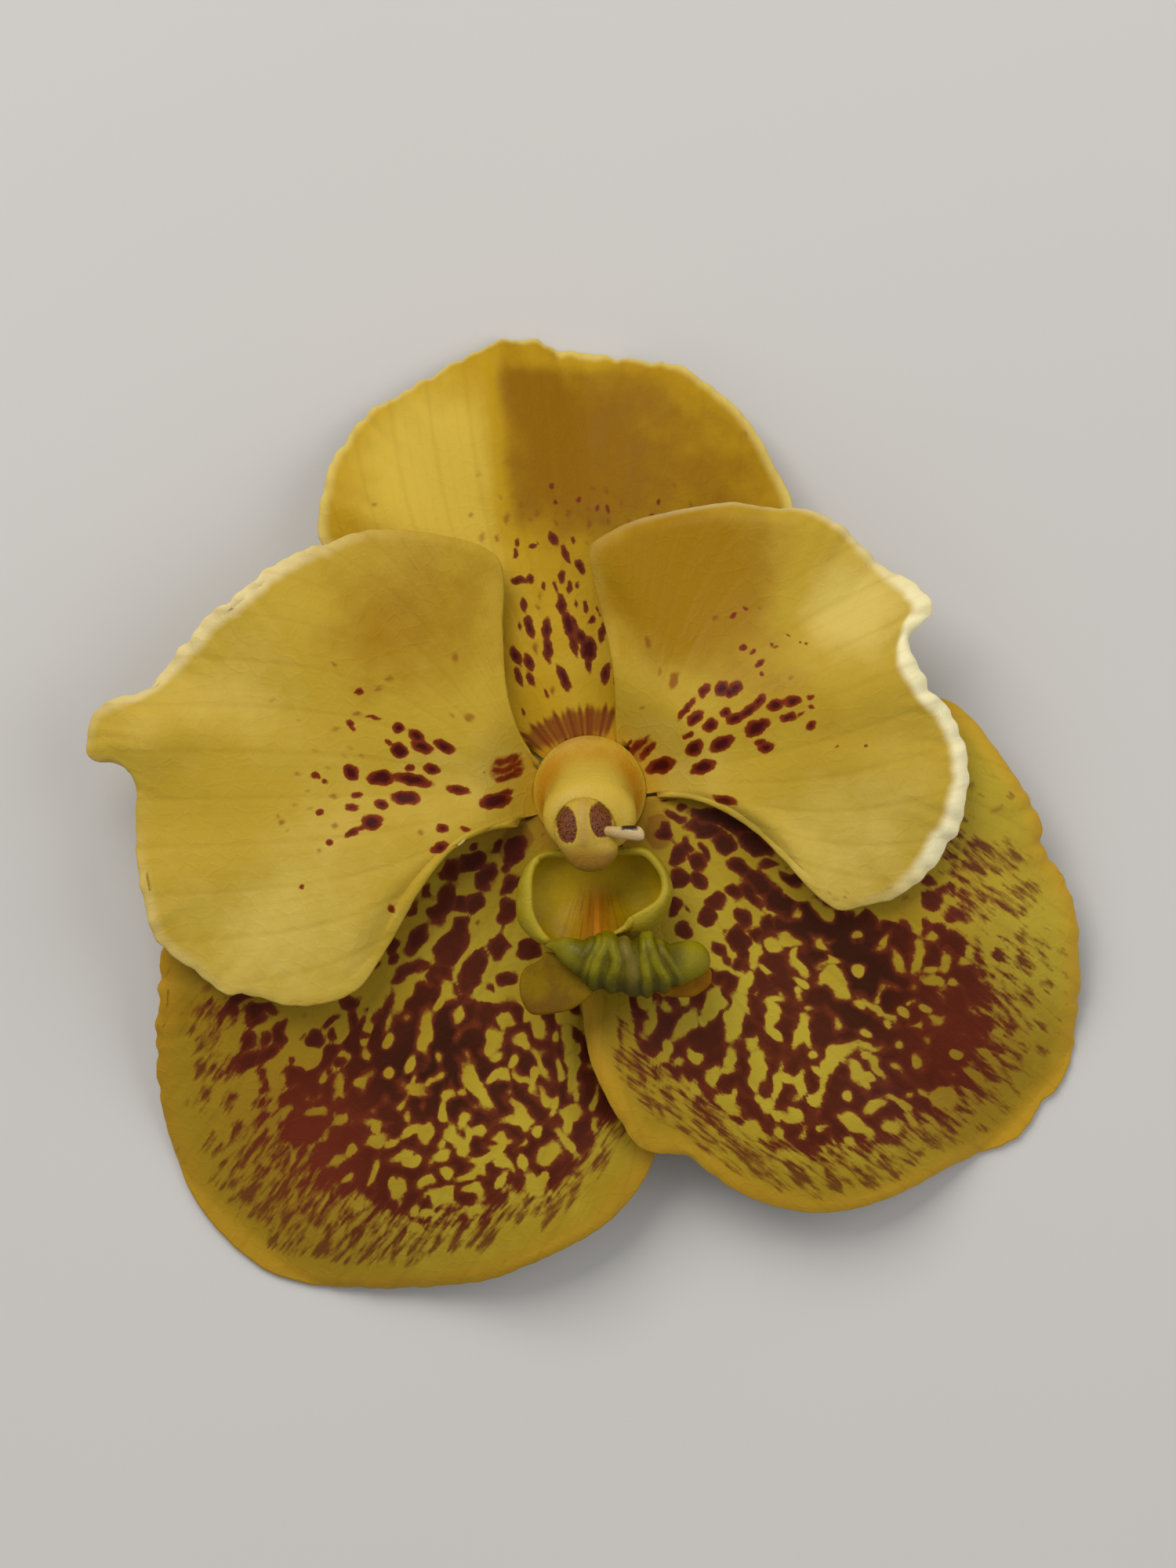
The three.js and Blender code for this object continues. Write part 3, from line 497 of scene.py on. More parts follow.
def blade_sheet(name, blade, marks):
    """A closed blade with a rounded margin. The function marks gives its painted fields by place"""
    u = np.linspace(0, 1, blade["grid"][0])
    front = np.linspace(0, 1, blade["grid"][1]) ** 0.92
    back = np.linspace(1, 0, BACK_ROWS)
    lines = blade_lines(blade, u)
    length = np.linalg.norm(np.diff(blade_middle(blade, lines, u, front), axis=1), axis=-1).sum(1)
    pulled = 1 - MARGIN_THICKNESS / 2 / length.mean()
    halves = []
    for v, side in ((front * pulled, 1.0), (back * pulled, -1.0)):
        middle = blade_middle(blade, lines, u, v)
        normal = unit(np.cross(np.gradient(middle, v, axis=1), np.gradient(middle, axis=0)))
        vein, gap, way = vein_course(blade, middle[..., :2])
        phase = vein * blade["veins"]
        from_vein = np.abs(phase - np.rint(phase)) * gap / blade["veins"]
        shown = smooth((np.hypot(middle[..., 0], middle[..., 1]) - 9) / 8) * (1 - smooth((v - 0.8) / 0.15))
        grooves = np.abs(np.sin(np.pi * phase)) - 0.8 * np.exp(-((from_vein / 0.35) ** 2))
        relief = blade["groove"] * shown * grooves
        thick = MIDDLE_THICKNESS + (MARGIN_THICKNESS - MIDDLE_THICKNESS) * smooth((v - 0.55) / 0.45)
        offset = side * thick / 2 + relief - 0.05 * smooth((0.95 - v) / 0.1)
        halves.append(middle + normal * offset[..., None])
    tip = blade_middle(blade, lines, u, np.array([pulled - 0.01, pulled]))
    out = unit(tip[:, 1] - tip[:, 0])
    top, under = halves[0][:, -1], halves[1][:, 0]
    up, centre = (top - under) / 2, (top + under) / 2
    rim = [centre + up * np.sin(turn) + out * (MARGIN_THICKNESS / 2 * np.cos(turn)) for turn in RIM_TURNS]
    points = np.concatenate([halves[0], np.stack(rim, 1), halves[1], halves[0][:, :1]], axis=1)
    ends = [end.mean(1, keepdims=True).repeat(points.shape[1], 1) for end in (points[:1], points[-1:])]
    points = np.concatenate([ends[0], points, ends[1]])
    across = np.concatenate([[0], u, [1]])[:, None]
    side = np.concatenate([[1] * len(front), np.sin(RIM_TURNS), [-1] * BACK_ROWS, [1]])[None]
    vein, gap, way = vein_course(blade, points[..., :2])
    run = np.cumsum(np.linalg.norm(np.diff(points, axis=1, prepend=points[:, :1]), axis=-1), axis=1)
    margin = np.abs(run - run[:, [len(front) + 1]])
    fields = {"side": side, "vein": vein, "gap": gap, "margin": margin}
    fields["reach"] = np.hypot(points[..., 0], points[..., 1])
    fields.update(marks(points[..., :2], across, way, margin))
    return sheet(name, points, **fields)


# Lines along a blade's veins. Count is how many lie over half its width, Width is a line's in millimetres
veins, veins_in, veins_out = new_group("Blade veins", {"Count": 5.0, "Width": 0.3}, ["Line"])
vein_phase = times(veins, field(veins, "vein"), veins_in.outputs["Count"])
vein_nearest = node(veins, "Math", {0: vein_phase}, operation="ROUND")
vein_part = maths(veins, "ABSOLUTE", maths(veins, "SUBTRACT", vein_phase, vein_nearest))
vein_pitch = maths(veins, "DIVIDE", field(veins, "gap"), veins_in.outputs["Count"])
vein_from = times(veins, vein_part, vein_pitch)
vein_change = node(veins, "TexNoise", {"Vector": millimetres(veins), "Scale": 0.35, "Detail": 2.0})
vein_width = times(veins, veins_in.outputs["Width"], slope(veins, vein_change, 0.25, 0.75, 0.5, 1.6))
veins.links.new(slope(veins, vein_from, vein_width, 0.0), veins_out.inputs["Line"])

# Maroon ink. Depth is how far inside a fleck a place lies and Softness how far its edge spreads
ink, ink_in, ink_out = new_group("Maroon ink", {"Depth": 0.0, "Softness": 0.08}, ["Mask", "Core"])
ink_noise = node(ink, "TexNoise", {"Vector": millimetres(ink), "Scale": 2.4, "Detail": 3.0})
ink_ragged = times(ink, maths(ink, "SUBTRACT", ink_noise, 0.5), 0.24)
ink_depth = maths(ink, "ADD", ink_in.outputs["Depth"], ink_ragged)
ink_start = times(ink, ink_in.outputs["Softness"], -1.0)
ink.links.new(slope(ink, ink_depth, ink_start, ink_in.outputs["Softness"]), ink_out.inputs["Mask"])
ink.links.new(slope(ink, ink_depth, 0.0, 0.5), ink_out.inputs["Core"])


def grouped(tree, group, **values):
    """A copy of a shader group with its inputs linked or set"""
    made = tree.nodes.new("ShaderNodeGroup")
    made.node_tree = group
    plug(tree, made, values)
    return made.outputs


def ground(tree, surface, pale, mid, deep, glow):
    """Yellow that runs from deep to pale with tone and mottle, and a tint over the claw. Tone holds painted
    light and shade besides the blade's own tone, and the claw's tint is partly its own gold and partly
    painted glow and shade round the column's foot
    """
    mottle = times(tree, maths(tree, "SUBTRACT", surface.outputs["Mottle"], 0.5), 0.8)
    tone = maths(tree, "ADD", field(tree, "tone"), mottle)
    made = tinted(tree, slope(tree, tone, 0.0, -1.0), mid, deep)
    made = tinted(tree, slope(tree, tone, 0.0, 1.0), made, pale)
    return tinted(tree, slope(tree, field(tree, "reach"), 8.6, 5.0, 0.0, 0.8), made, glow)


def veined(tree, base, count, vein, strength):
    """The base with main veins and fine ones between them, and their height"""
    main = grouped(tree, veins, Count=count, Width=0.45)["Line"]
    fine = grouped(tree, veins, Count=count * 3.0, Width=0.22)["Line"]
    far = slope(tree, field(tree, "reach"), 15.0, 26.0, 0.0, 0.35)
    shown = slope(tree, field(tree, "reach"), 10.0, 20.0)
    line = maths(tree, "MAXIMUM", times(tree, main, shown), times(tree, fine, far))
    return tinted(tree, times(tree, line, strength), base, vein), times(tree, line, -0.2)


def flecked(tree, base, core, edge):
    """The base under faint red first, and then under dark flecks whose edges are redder"""
    blushed = tinted(tree, field(tree, "blush"), base, edge)
    drops = grouped(tree, ink, Depth=field(tree, "fleck"))
    front = slope(tree, field(tree, "side"), 0.2, 0.9)
    colour = tinted(tree, drops["Core"], edge, core)
    return tinted(tree, times(tree, drops["Mask"], front), blushed, colour)


def backed(tree, front, back):
    """The front's colour on the front and the back's on the back"""
    return tinted(tree, slope(tree, field(tree, "side"), 0.4, -0.5), front, back)


# A blade's root is the heading and half spread of its claw in degrees, aim its own heading and tuck how
# far its flanks dip under their neighbours. Form is its lift, its length, the fall of its tip and the
# power of that fall, its half width and the fall of its sides. Wave is a height, a count round the margin
# and a phase, and frill the height of the margin's crinkle and the depth of its nibbles. Crisp tells where
# those lie: x, y, weight and spread. Spread is half the width of the fan of veins, and groove their depth.
# Swells are x, y, height, length, width and turn. An outline's points are x, y and the degrees by which
# the margin rolls back there.
DORSAL = {
    "root": [98, 46],
    "aim": 96,
    "tuck": 0.35,
    "form": [0.3, 41, 8.6, 2.4, 26, 1.5],
    "wave": [0.7, 5.5, 1.2],
    "frill": [0.3, 0.4],
    "crisp": [[-14, 44, 1, 7], [-5, 46, 1, 7], [6, 44, 0.6, 7], [-24, 37, 0.7, 6]],
    "spread": 23,
    "veins": 5.7,
    "groove": 0.015,
    "seed": 31,
    "grid": [261, 132],
    "swells": [[-14, 36, 1.2, 9, 5, 60], [12, 34, 0.8, 8, 5, -60], [1, 34, -0.7, 4, 8, 0]],
    "outline": [
        [5.3, 4.4, 5], [6.3, 8.8, 10], [10, 14, 15], [16.5, 18.8, 15], [20, 23.8, 15], [20.5, 28.7, 20],
        [18.8, 32.6, 25], [16.2, 37.4, 30], [12.6, 41, 40], [9.3, 43.3, 55], [3.8, 44.3, 75],
        [-0.2, 44.9, 80], [-3.5, 45.3, 80], [-5.3, 46.6, 85], [-7, 46, 85], [-9, 46.3, 85],
        [-12.7, 44.5, 80], [-17.5, 41.7, 70], [-22.2, 39, 60], [-25.7, 34.6, 45], [-27.2, 29.1, 30],
        [-27, 25, 20], [-22.5, 21.5, 15], [-15.5, 16.6, 15], [-11.1, 10.2, 10], [-8.5, 4.2, 5],
    ],
}
# x, y, length, width, angle and strength
DORSAL_FLECKS = [
    [-3.8, 30.8, 0.7, 0.55, 90, 0.9], [-3.5, 29.2, 0.7, 0.5, 90, 0.8], [-1.1, 29.5, 0.75, 0.5, 80, 0.9],
    [0.4, 30.5, 0.45, 0.4, 0, 0.5], [1.7, 30.3, 0.5, 0.35, 90, 0.6], [-0.1, 28.6, 0.4, 0.3, 0, 0.5],
    [0.7, 28.6, 0.75, 0.5, 80, 0.8], [1.8, 28.5, 1.0, 0.5, 90, 0.9], [1.9, 27.3, 0.55, 0.35, 70, 0.7],
    [1.4, 27.2, 0.35, 0.3, 0, 0.5], [-0.1, 27, 0.9, 0.4, 85, 0.6], [-2.2, 28.1, 0.75, 0.4, 80, 0.6],
    [-3.4, 27.1, 0.5, 0.35, 0, 0.6], [-5.3, 28.1, 0.75, 0.35, 90, 0.5], [-6.9, 28.8, 0.7, 0.35, 90, 0.4],
    [-8.3, 27.5, 1.3, 0.45, 90, 0.6], [-6, 27.4, 0.5, 0.35, 0, 0.4], [-8.9, 29.6, 0.4, 0.35, 0, 0.4],
    [3.2, 29, 0.55, 0.35, 80, 0.4], [3.9, 27.2, 0.5, 0.35, 0, 0.5], [4.6, 28.8, 0.45, 0.35, 0, 0.4],
    [7, 29.2, 0.75, 0.45, 80, 0.8], [6.3, 27.8, 0.65, 0.6, 0, 0.9], [8.5, 30.9, 0.4, 0.35, 0, 0.4],
    [10.1, 28.8, 0.4, 0.35, 0, 0.5], [-1.6, 25.3, 0.7, 0.5, 85, 0.8], [-0.3, 25.1, 0.35, 0.3, 0, 0.4],
    [-12, 27.9, 0.5, 0.4, 0, 0.6], [-21.6, 29, 0.45, 0.4, 0, 0.6], [-11.2, 32, 0.5, 0.35, 70, 0.4],
    [15.6, 36.4, 0.5, 0.4, 30, 0.7], [-10.8, 25.6, 1, 0.4, 90, 0.5], [-9.3, 25.5, 0.75, 0.4, 90, 0.7],
    [-11.4, 24.1, 0.8, 0.3, -30, 0.5], [-7.3, 25.1, 0.95, 0.5, 90, 1], [-7.4, 24, 1.2, 0.55, 90, 1],
    [-5.7, 24.7, 0.95, 0.6, 0, 0.9], [-5.2, 25, 0.5, 0.4, 60, 0.9], [-3.7, 25.5, 1.6, 0.9, -60, 1],
    [-2.4, 23.9, 2.1, 0.7, -65, 1], [-0.9, 22.6, 1.7, 0.95, -65, 1], [-7.2, 21.2, 1.3, 1, 0, 1],
    [-6, 21.4, 1.1, 0.8, 90, 1], [-6.6, 21.2, 0.9, 0.5, 0, 1], [-4.7, 20.6, 1, 0.45, 90, 0.9],
    [-4.9, 19.6, 0.8, 0.3, 90, 0.5], [-5.2, 18.5, 0.5, 0.35, 0, 0.6], [-2.8, 21.6, 1.4, 0.8, 90, 1],
    [-2, 20.6, 1.4, 0.6, 90, 1], [-1.2, 20.7, 0.9, 0.45, 90, 0.9], [-1.4, 18.8, 0.75, 0.4, 90, 0.9],
    [-0.4, 18.6, 1.3, 0.6, 90, 1], [-3.4, 20.6, 1.3, 0.45, -80, 1], [-2.8, 18.7, 2.5, 0.95, -78, 1],
    [-2.1, 16.8, 2.8, 1.3, -75, 1], [-1.6, 14.9, 2.9, 0.8, -75, 1], [-1.6, 17, 1.4, 0.8, 90, 1],
    [-0.9, 15.5, 2.2, 1.1, -60, 1], [-0.1, 14.3, 2.7, 1.7, -88, 1], [-0.1, 12.8, 1.9, 0.7, -88, 1],
    [-6.6, 18.8, 1.6, 0.7, -80, 1], [-6, 16.5, 2.4, 1, -75, 1], [-7, 16.6, 1, 0.4, 90, 0.9],
    [-5.4, 14.4, 1.2, 0.4, -75, 0.7], [-4.3, 16.3, 2.5, 1, 90, 1], [-4.2, 14.3, 2.9, 1, -85, 1],
    [-7.4, 13.6, 2.1, 1.05, -60, 1], [-7.1, 11.6, 2.1, 0.75, -72, 1], [-6.1, 13, 2, 1, -70, 1],
    [-5.9, 11.3, 1.9, 0.7, -65, 1], [-2.6, 11.4, 3, 1.05, -68, 1], [1.6, 11.8, 2.2, 0.95, 72, 1],
    [2.6, 11.3, 1.6, 0.4, 85, 1], [-4.3, 9.9, 1, 0.35, -70, 0.8], [-3.7, 10.1, 0.9, 0.35, -80, 0.7],
    [-6.7, 8, 0.6, 0.35, -60, 0.8], [0.2, 17.2, 1, 0.7, 60, 1], [1.3, 16, 2.2, 0.8, 80, 1],
    [0.9, 18.1, 1, 0.3, -70, 0.9], [3.8, 16.4, 1.8, 0.8, 70, 1], [4.4, 20.5, 1.1, 0.5, 72, 0.9],
    [3.3, 23.4, 0.8, 0.5, 80, 0.9],
]
# Lumps of paler (above 0) and darker yellow: x, y, height and spread. They are painted light and shade,
# partly also the blade's own tone
DORSAL_TONES_AND_LIGHT = [
    [-19, 31, 0.6, 6], [-14, 24, 0.8, 5], [-15, 36, 0.8, 4], [13, 33, -0.5, 5], [16, 26, -0.3, 5],
    [-2, 13, 0.3, 5], [0, 43.5, 0.4, 2.5], [-24, 24, -0.3, 4],
]


def dorsal_marks(plan, u, way, margin):
    dark, faint = fleck_fields(plan, DORSAL_FLECKS)
    reach = np.hypot(plan[..., 0], plan[..., 1])
    angle = np.degrees(np.arctan2(plan[..., 1], plan[..., 0]))
    teeth = ripple(angle, (4.3, 5.9, 8.3, 13), 5)
    aside = ((angle - 101) / 40) ** 2
    starts = smooth((reach - 4.8 - 1.2 * aside + 0.2 * teeth) / 1.2)
    ends = 1 - smooth((reach - 8 - 0.5 * aside - 0.3 * teeth) / 0.8)
    sides = smooth((angle - 70) / 3) * smooth((143 - angle) / 3)
    comb = starts * ends * sides * np.clip(0.85 + 0.1 * teeth, 0.68, 0.95)
    x, y = plan[..., 0], plan[..., 1]
    # Painted shadow: a broad dark patch over the blade's upper right with a soft left edge, eased off along
    # the top edge, where a painted highlight stays on the rim
    shade = smooth((x + 10.8 + 0.06 * (y - 34)) / 3.6) * smooth((16 - x) / 18) * smooth((y - 21) / 9)
    tone = lumps(plan, DORSAL_TONES_AND_LIGHT) - 1.05 * shade * (1 - 0.6 * smooth((y - 42) / 2.2))
    return {"fleck": dark, "blush": np.maximum(faint, comb), "tone": tone}


def dorsal_colour(tree, surface):
    made = ground(
        tree, surface, paint(206, 173, 60), paint(183, 143, 18), paint(140, 96, 0), paint(186, 130, 18))
    # The paler margin is partly its own paler back on the rolled edge and partly painted highlight where that
    # edge turns up to the lamp
    rimmed = tinted(tree, slope(tree, field(tree, "margin"), 1.7, 0.4, 0.0, 0.75), made, paint(222, 198, 108))
    sided = backed(tree, rimmed, paint(206, 182, 92))
    lined, height = veined(tree, sided, DORSAL["veins"], paint(146, 108, 16), 0.12)
    return flecked(tree, lined, paint(66, 12, 8), paint(116, 48, 14)), height


dorsal_sepal = blade_sheet("dorsal_sepal", DORSAL, dorsal_marks)
fit(dorsal_sepal, flesh("Dorsal sepal flesh", 0.6, dorsal_colour, shine=0.1), "dorsal_sepal", "dorsal_sepal")

# Lateral sepals
# The two lower sepals, one beside the other behind the lip: the broadest blades of the bloom, ochre
# under a maroon net that is separate drops near the claw and breaks into streaks towards the margin.
LATERAL_LEFT = {
    "root": [228, 24],
    "aim": 233,
    "tuck": 0.35,
    "form": [-0.9, 51, 8.1, 4, 30, 1.2],
    "wave": [0.6, 4.5, 0.2],
    "frill": [0.2, 0.5],
    "crisp": [[-43, -18, 0.6, 4], [-44, -26, 0.6, 4], [-20, -50, 0.3, 8]],
    "spread": 30,
    "veins": 6,
    "groove": 0.015,
    "seed": 41,
    "grid": [321, 160],
    "swells": [[-36, -20, 1, 8, 6, 60], [-14, -40, 0.9, 12, 5, 20], [-24, -30, -0.6, 10, 4, 55],
               [5, -25, -1.3, 14, 4, 90]],
    "outline": [
        [-6.6, -2.3, 5], [-9.2, -3.3, 10], [-13.5, -4.7, 10], [-19, -7, 15], [-28, -9.9, 15],
        [-37, -12.2, 15], [-42.3, -14.6, 20], [-43.4, -18.5, 25], [-43.9, -24.5, 25], [-43.9, -30, 30],
        [-42.6, -36, 35],
        [-40.3, -41.7, 40], [-36.4, -46.4, 45], [-31.6, -49.6, 45], [-25.5, -50.6, 35],
        [-17.5, -50.5, 30], [-10.5, -49.5, 30], [-4.5, -47, 30], [1.2, -43.9, 30], [4.9, -40, 25],
        [6.7, -36, 20], [7, -30, 15], [5.4, -23, 10], [2.4, -15, 10], [-0.6, -9.4, 5], [-2, -6.8, 5],
    ],
}
LATERAL_RIGHT = {
    "root": [328, 26],
    "aim": 322,
    "tuck": 0.5,
    "form": [0.9, 49, 9.4, 4, 27, 1.8],
    "wave": [0.6, 5, 2.6],
    "frill": [0.2, 0.5],
    "crisp": [[46, -5, 0.9, 4], [45, -34, 0.4, 8], [8, -37, 0.3, 5], [49, -20, 0.3, 6]],
    "spread": 29,
    "veins": 6,
    "groove": 0.015,
    "seed": 51,
    "grid": [321, 160],
    "swells": [[38, -10, 1.2, 9, 5, 70], [22, -36, 0.9, 12, 5, -10], [26, -18, -0.6, 12, 5, -30],
               [2, -28, 1.5, 8, 5, 90], [36, 3, -1.4, 9, 5, -40]],
    "outline": [
        [3.2, -5.9, 5], [1.4, -9.6, 10], [-0.1, -14.5, 20], [-0.7, -20.1, 35], [0, -26.4, 40],
        [2.2, -31.4, 40], [4.7, -35.4, 35], [7.1, -36.3, 30], [10.1, -36.8, 30], [14, -39.7, 30],
        [18.7, -41.8, 30], [24.5, -42.5, 30], [30.9, -40.9, 30], [37.6, -37.8, 30], [43.3, -35.7, 30],
        [46.4, -31.9, 35], [48.9, -28.5, 40], [49.9, -21.5, 50], [49.6, -14, 50], [48.2, -8.7, 50],
        [46.4, -6.2, 60], [45.1, -1.6, 75], [42.3, 2.4, 80], [38.4, 7.5, 70], [34.6, 9.4, 40],
        [27, 7, 20], [19.5, 4.4, 15], [12.3, 2.1, 10], [7, 0.4, 5],
    ],
}
LEFT_BLOTCHES = [
    [-11.5, -4.8, 2.1, 1.3, 60, 1], [-9.3, -5.4, 1.2, 0.7, 60, 1], [-7.6, -6, 3.3, 2, 60, 0.8],
    # A broad faint brown patch round the claw's blotch: partly its own colour and partly painted shade beside
    # the column and the lip
    [-7.5, -5.2, 4.4, 3, 60, 0.5],
    [-14, -7.9, 2.5, 1.9, 40, 1], [-11.7, -7, 3.1, 1.8, 30, 1], [-10.4, -8.5, 3, 2, 65, 1],
    [-8.3, -7.7, 1.2, 0.8, 60, 1], [-8.2, -9.3, 2.3, 1.3, 60, 1], [-7.5, -9, 1.3, 0.9, 0, 1],
    [-16.4, -10.1, 1.7, 1, 80, 1], [-14.7, -11.3, 4.7, 2, 65, 1], [-13, -11.3, 1.6, 1.3, 0, 1],
    [-11.5, -11.2, 2.2, 1.9, 60, 1], [-8.3, -12.1, 2.8, 1.7, 75, 1], [-17.9, -11.7, 1.8, 0.6, 60, 1],
    [-17.3, -14.8, 3.8, 1.5, 58, 1], [-13, -13.8, 2.7, 1.6, 75, 1], [-14, -15.6, 4.7, 2.7, 55, 1],
    [-9.2, -15.6, 2.8, 1.9, 85, 1], [-6.2, -15.9, 2.6, 2, 10, 1], [-19.8, -15.4, 1.8, 1.4, 80, 1],
    [-19.7, -16.8, 1.6, 1, 80, 1], [-21.8, -17.5, 1.6, 0.9, 40, 1], [-18.3, -17.9, 3.5, 1.3, 38, 1],
    [-17, -17.6, 1.7, 1.5, 0, 1], [-15, -18.6, 3.1, 2.7, 80, 1], [-11.9, -18.3, 4.2, 2.3, 65, 1],
    [-11.2, -16.9, 2.1, 1.7, 60, 1], [-8.3, -18.8, 2, 1.6, 0, 0.8], [-8.8, -21.3, 2.2, 1.5, -20, 1],
    [-24.1, -21.3, 1.7, 1.3, 10, 1], [-23.8, -23.1, 2.9, 1.1, 100, 1], [-20.6, -22.2, 4.4, 1.1, 68, 1],
    [-17.3, -20.9, 3.7, 2.6, 60, 1], [-27.7, -25, 1.8, 1.7, 0, 1], [-25.9, -24.4, 1.3, 0.9, 90, 1],
    [-29.9, -28.7, 2.6, 2.1, 0, 1], [-22.8, -24.5, 1, 0.6, 0, 1], [-22.3, -21.9, 0.5, 0.5, 0, 1],
    [-24.2, -25.3, 0.7, 0.6, 0, 1], [-26.3, -28.2, 0.7, 0.6, 0, 1], [-28.8, -22.4, 0.7, 0.5, 0, 0.5],
    [-38.4, -19.7, 1, 0.8, 0, 0.6], [-38.6, -22, 2, 1.1, 50, 1], [-36.5, -22.6, 4, 1.6, 55, 1],
    [-38, -25, 3, 1.2, 55, 1], [-33.5, -22, 2.8, 1.7, 20, 1], [-40.8, -24.3, 1.6, 0.8, 50, 0.9],
    [-31.4, -24.5, 2.6, 1.3, 80, 1], [-34.6, -25.2, 2.6, 1.6, 60, 1], [-35.8, -27.6, 3.2, 1.5, 50, 1],
    [-38.6, -27.8, 1.8, 1.5, 60, 0.9], [-33.2, -29.3, 3.2, 1.5, 95, 1], [-32.5, -26.5, 3, 1.4, 30, 1],
    [-38.9, -30.6, 1.6, 1, 70, 0.9], [-36.4, -31.2, 1.4, 0.8, 60, 0.8], [-35.5, -20.9, 3.2, 1.1, 25, 1],
    [-39, -25.2, 1.8, 0.9, 60, 1], [-32.5, -21.9, 2, 1, 0, 1], [-33.6, -23, 2.2, 1, 20, 1],
    [-32.7, -24.9, 1.6, 1, 80, 1], [-31, -24.3, 3, 0.9, 75, 1], [-34.4, -25.4, 1.6, 1, 0, 1],
    [-34.6, -27.3, 4.6, 1.3, 35, 1], [-38.3, -27.1, 2.2, 1, 15, 1], [-39.2, -28.6, 1.2, 0.8, 60, 1],
    [-37.6, -28.7, 1.2, 0.8, 60, 1], [-21.2, -22.6, 1.8, 1, 60, 1], [-23, -24.4, 0.9, 0.6, 0, 1],
    [-24.3, -25.6, 0.8, 0.6, 60, 1], [-25.2, -27.2, 1.6, 1, 0, 1], [-23.3, -27.3, 1.7, 1, 0, 1],
    [-21.3, -27, 1.5, 0.9, 60, 1], [-24.6, -29.8, 1.7, 1, 85, 1], [-27.6, -28.8, 1.5, 0.8, 60, 1],
    [-30, -30.5, 3, 1, 30, 1], [-41.2, -25.4, 0.9, 0.5, 50, 1], [-39.7, -22.1, 1.2, 0.7, 40, 1],
]
RIGHT_BLOTCHES = [
    [7.5, -3.9, 1.6, 1.5, 0, 1], [7.8, -0.5, 2, 0.5, -5, 1], [9.3, -1.6, 0.7, 0.5, 0, 1],
    # A broad faint brown patch round the claw's blotch: partly its own colour and partly painted shade beside
    # the column and the lip
    [6.8, -4, 3.4, 3, 80, 0.5],
    [8.5, -2.4, 2.1, 0.9, -25, 1], [12.1, -2.4, 4.4, 1.6, -8, 1], [11.5, -3.8, 4.1, 1.7, -15, 1],
    [14.6, -3.2, 4.1, 1.8, -25, 1], [13.6, -5.2, 2.4, 2.1, -30, 1], [16.6, -5.3, 3.7, 2.1, -30, 1],
    [9, -6.3, 2.4, 1.5, 60, 1], [9.6, -5.5, 1.7, 1.1, 70, 1], [10.8, -7, 2.1, 1.4, -60, 1],
    [11.5, -6, 1.8, 0.9, -70, 1], [9, -8.6, 2.1, 1.8, 0, 1], [10.8, -8.8, 1.9, 1.6, -50, 1],
    [15, -7.6, 3.1, 1.3, -20, 1], [17.9, -7.3, 1.8, 0.8, 0, 1], [16.9, -9, 3.7, 2.1, -30, 1],
    [20.2, -8.8, 2.4, 1.2, -30, 1], [14.5, -9.9, 2, 1.7, -20, 1], [12.6, -11, 2.1, 1.9, 50, 1],
    [11.8, -12.5, 2.1, 1.9, 70, 1], [8.5, -11.6, 1.7, 1.2, 80, 1], [16.1, -10.3, 3.1, 1.4, -45, 1],
    [18.9, -11, 4.1, 2.2, -40, 1], [15.3, -12.6, 2.7, 1.5, -65, 1], [9.5, -13.9, 2, 1.5, -10, 0.9],
    [14.9, -14.8, 2.8, 2.4, -60, 1], [17.9, -13.6, 2.8, 1.6, -75, 1], [12.8, -15.8, 1.9, 1.4, -65, 1],
    [15, -17.3, 1.5, 1.2, 0, 1], [13.6, -18.9, 3.6, 1.8, -20, 1], [16.3, -19.4, 1.6, 1.4, -50, 1],
    [18.6, -16.6, 3.1, 2.1, -60, 1], [21.6, -14.1, 4.1, 2.1, -40, 1], [22.2, -16.3, 2.8, 2.4, 0, 1],
    [18.6, -19.1, 2.1, 1.7, 0, 1], [11.3, -19.9, 2.4, 1.2, 25, 1], [37.2, -3.5, 2, 1.4, 70, 1],
    [36.3, -5.7, 2.1, 2, 0, 1], [40.5, -6.3, 5.7, 2.9, -10, 1], [38.1, -8, 3.4, 2.3, 0, 1],
    [34.3, -10.8, 2.2, 2, 0, 1], [35.8, -10, 2.1, 1.3, -10, 1], [38.5, -10.3, 2.7, 2.5, 0, 1],
    [37.6, -12.3, 4.1, 1.8, 0, 1], [41.8, -10.6, 3.4, 1.7, -20, 1], [43.8, -10.3, 2.3, 2, -60, 1],
    [42.8, -11.6, 2.4, 1.7, 0, 1], [31.5, -10.6, 0.7, 0.6, 0, 0.6], [33.9, -8.9, 1.2, 0.7, 0, 1],
    [26, -12.8, 1.8, 1.2, 80, 1], [28.2, -13.3, 2.2, 1.4, -30, 1], [27, -15, 1.1, 0.9, 0, 1],
    [31.3, -14.6, 3.1, 2.1, 80, 1], [30.4, -14.3, 1.9, 1.5, 0, 1], [31.7, -16.6, 2.1, 0.9, -80, 1],
    [34.5, -16.3, 2.8, 1.8, -60, 1], [33.7, -13.6, 1.8, 0.9, 80, 1], [36.2, -15.1, 3.1, 2.4, 0, 1],
    [38.1, 0.4, 0.9, 0.7, 0, 0.6], [41.3, -1.8, 1, 0.4, 0, 0.5],
]
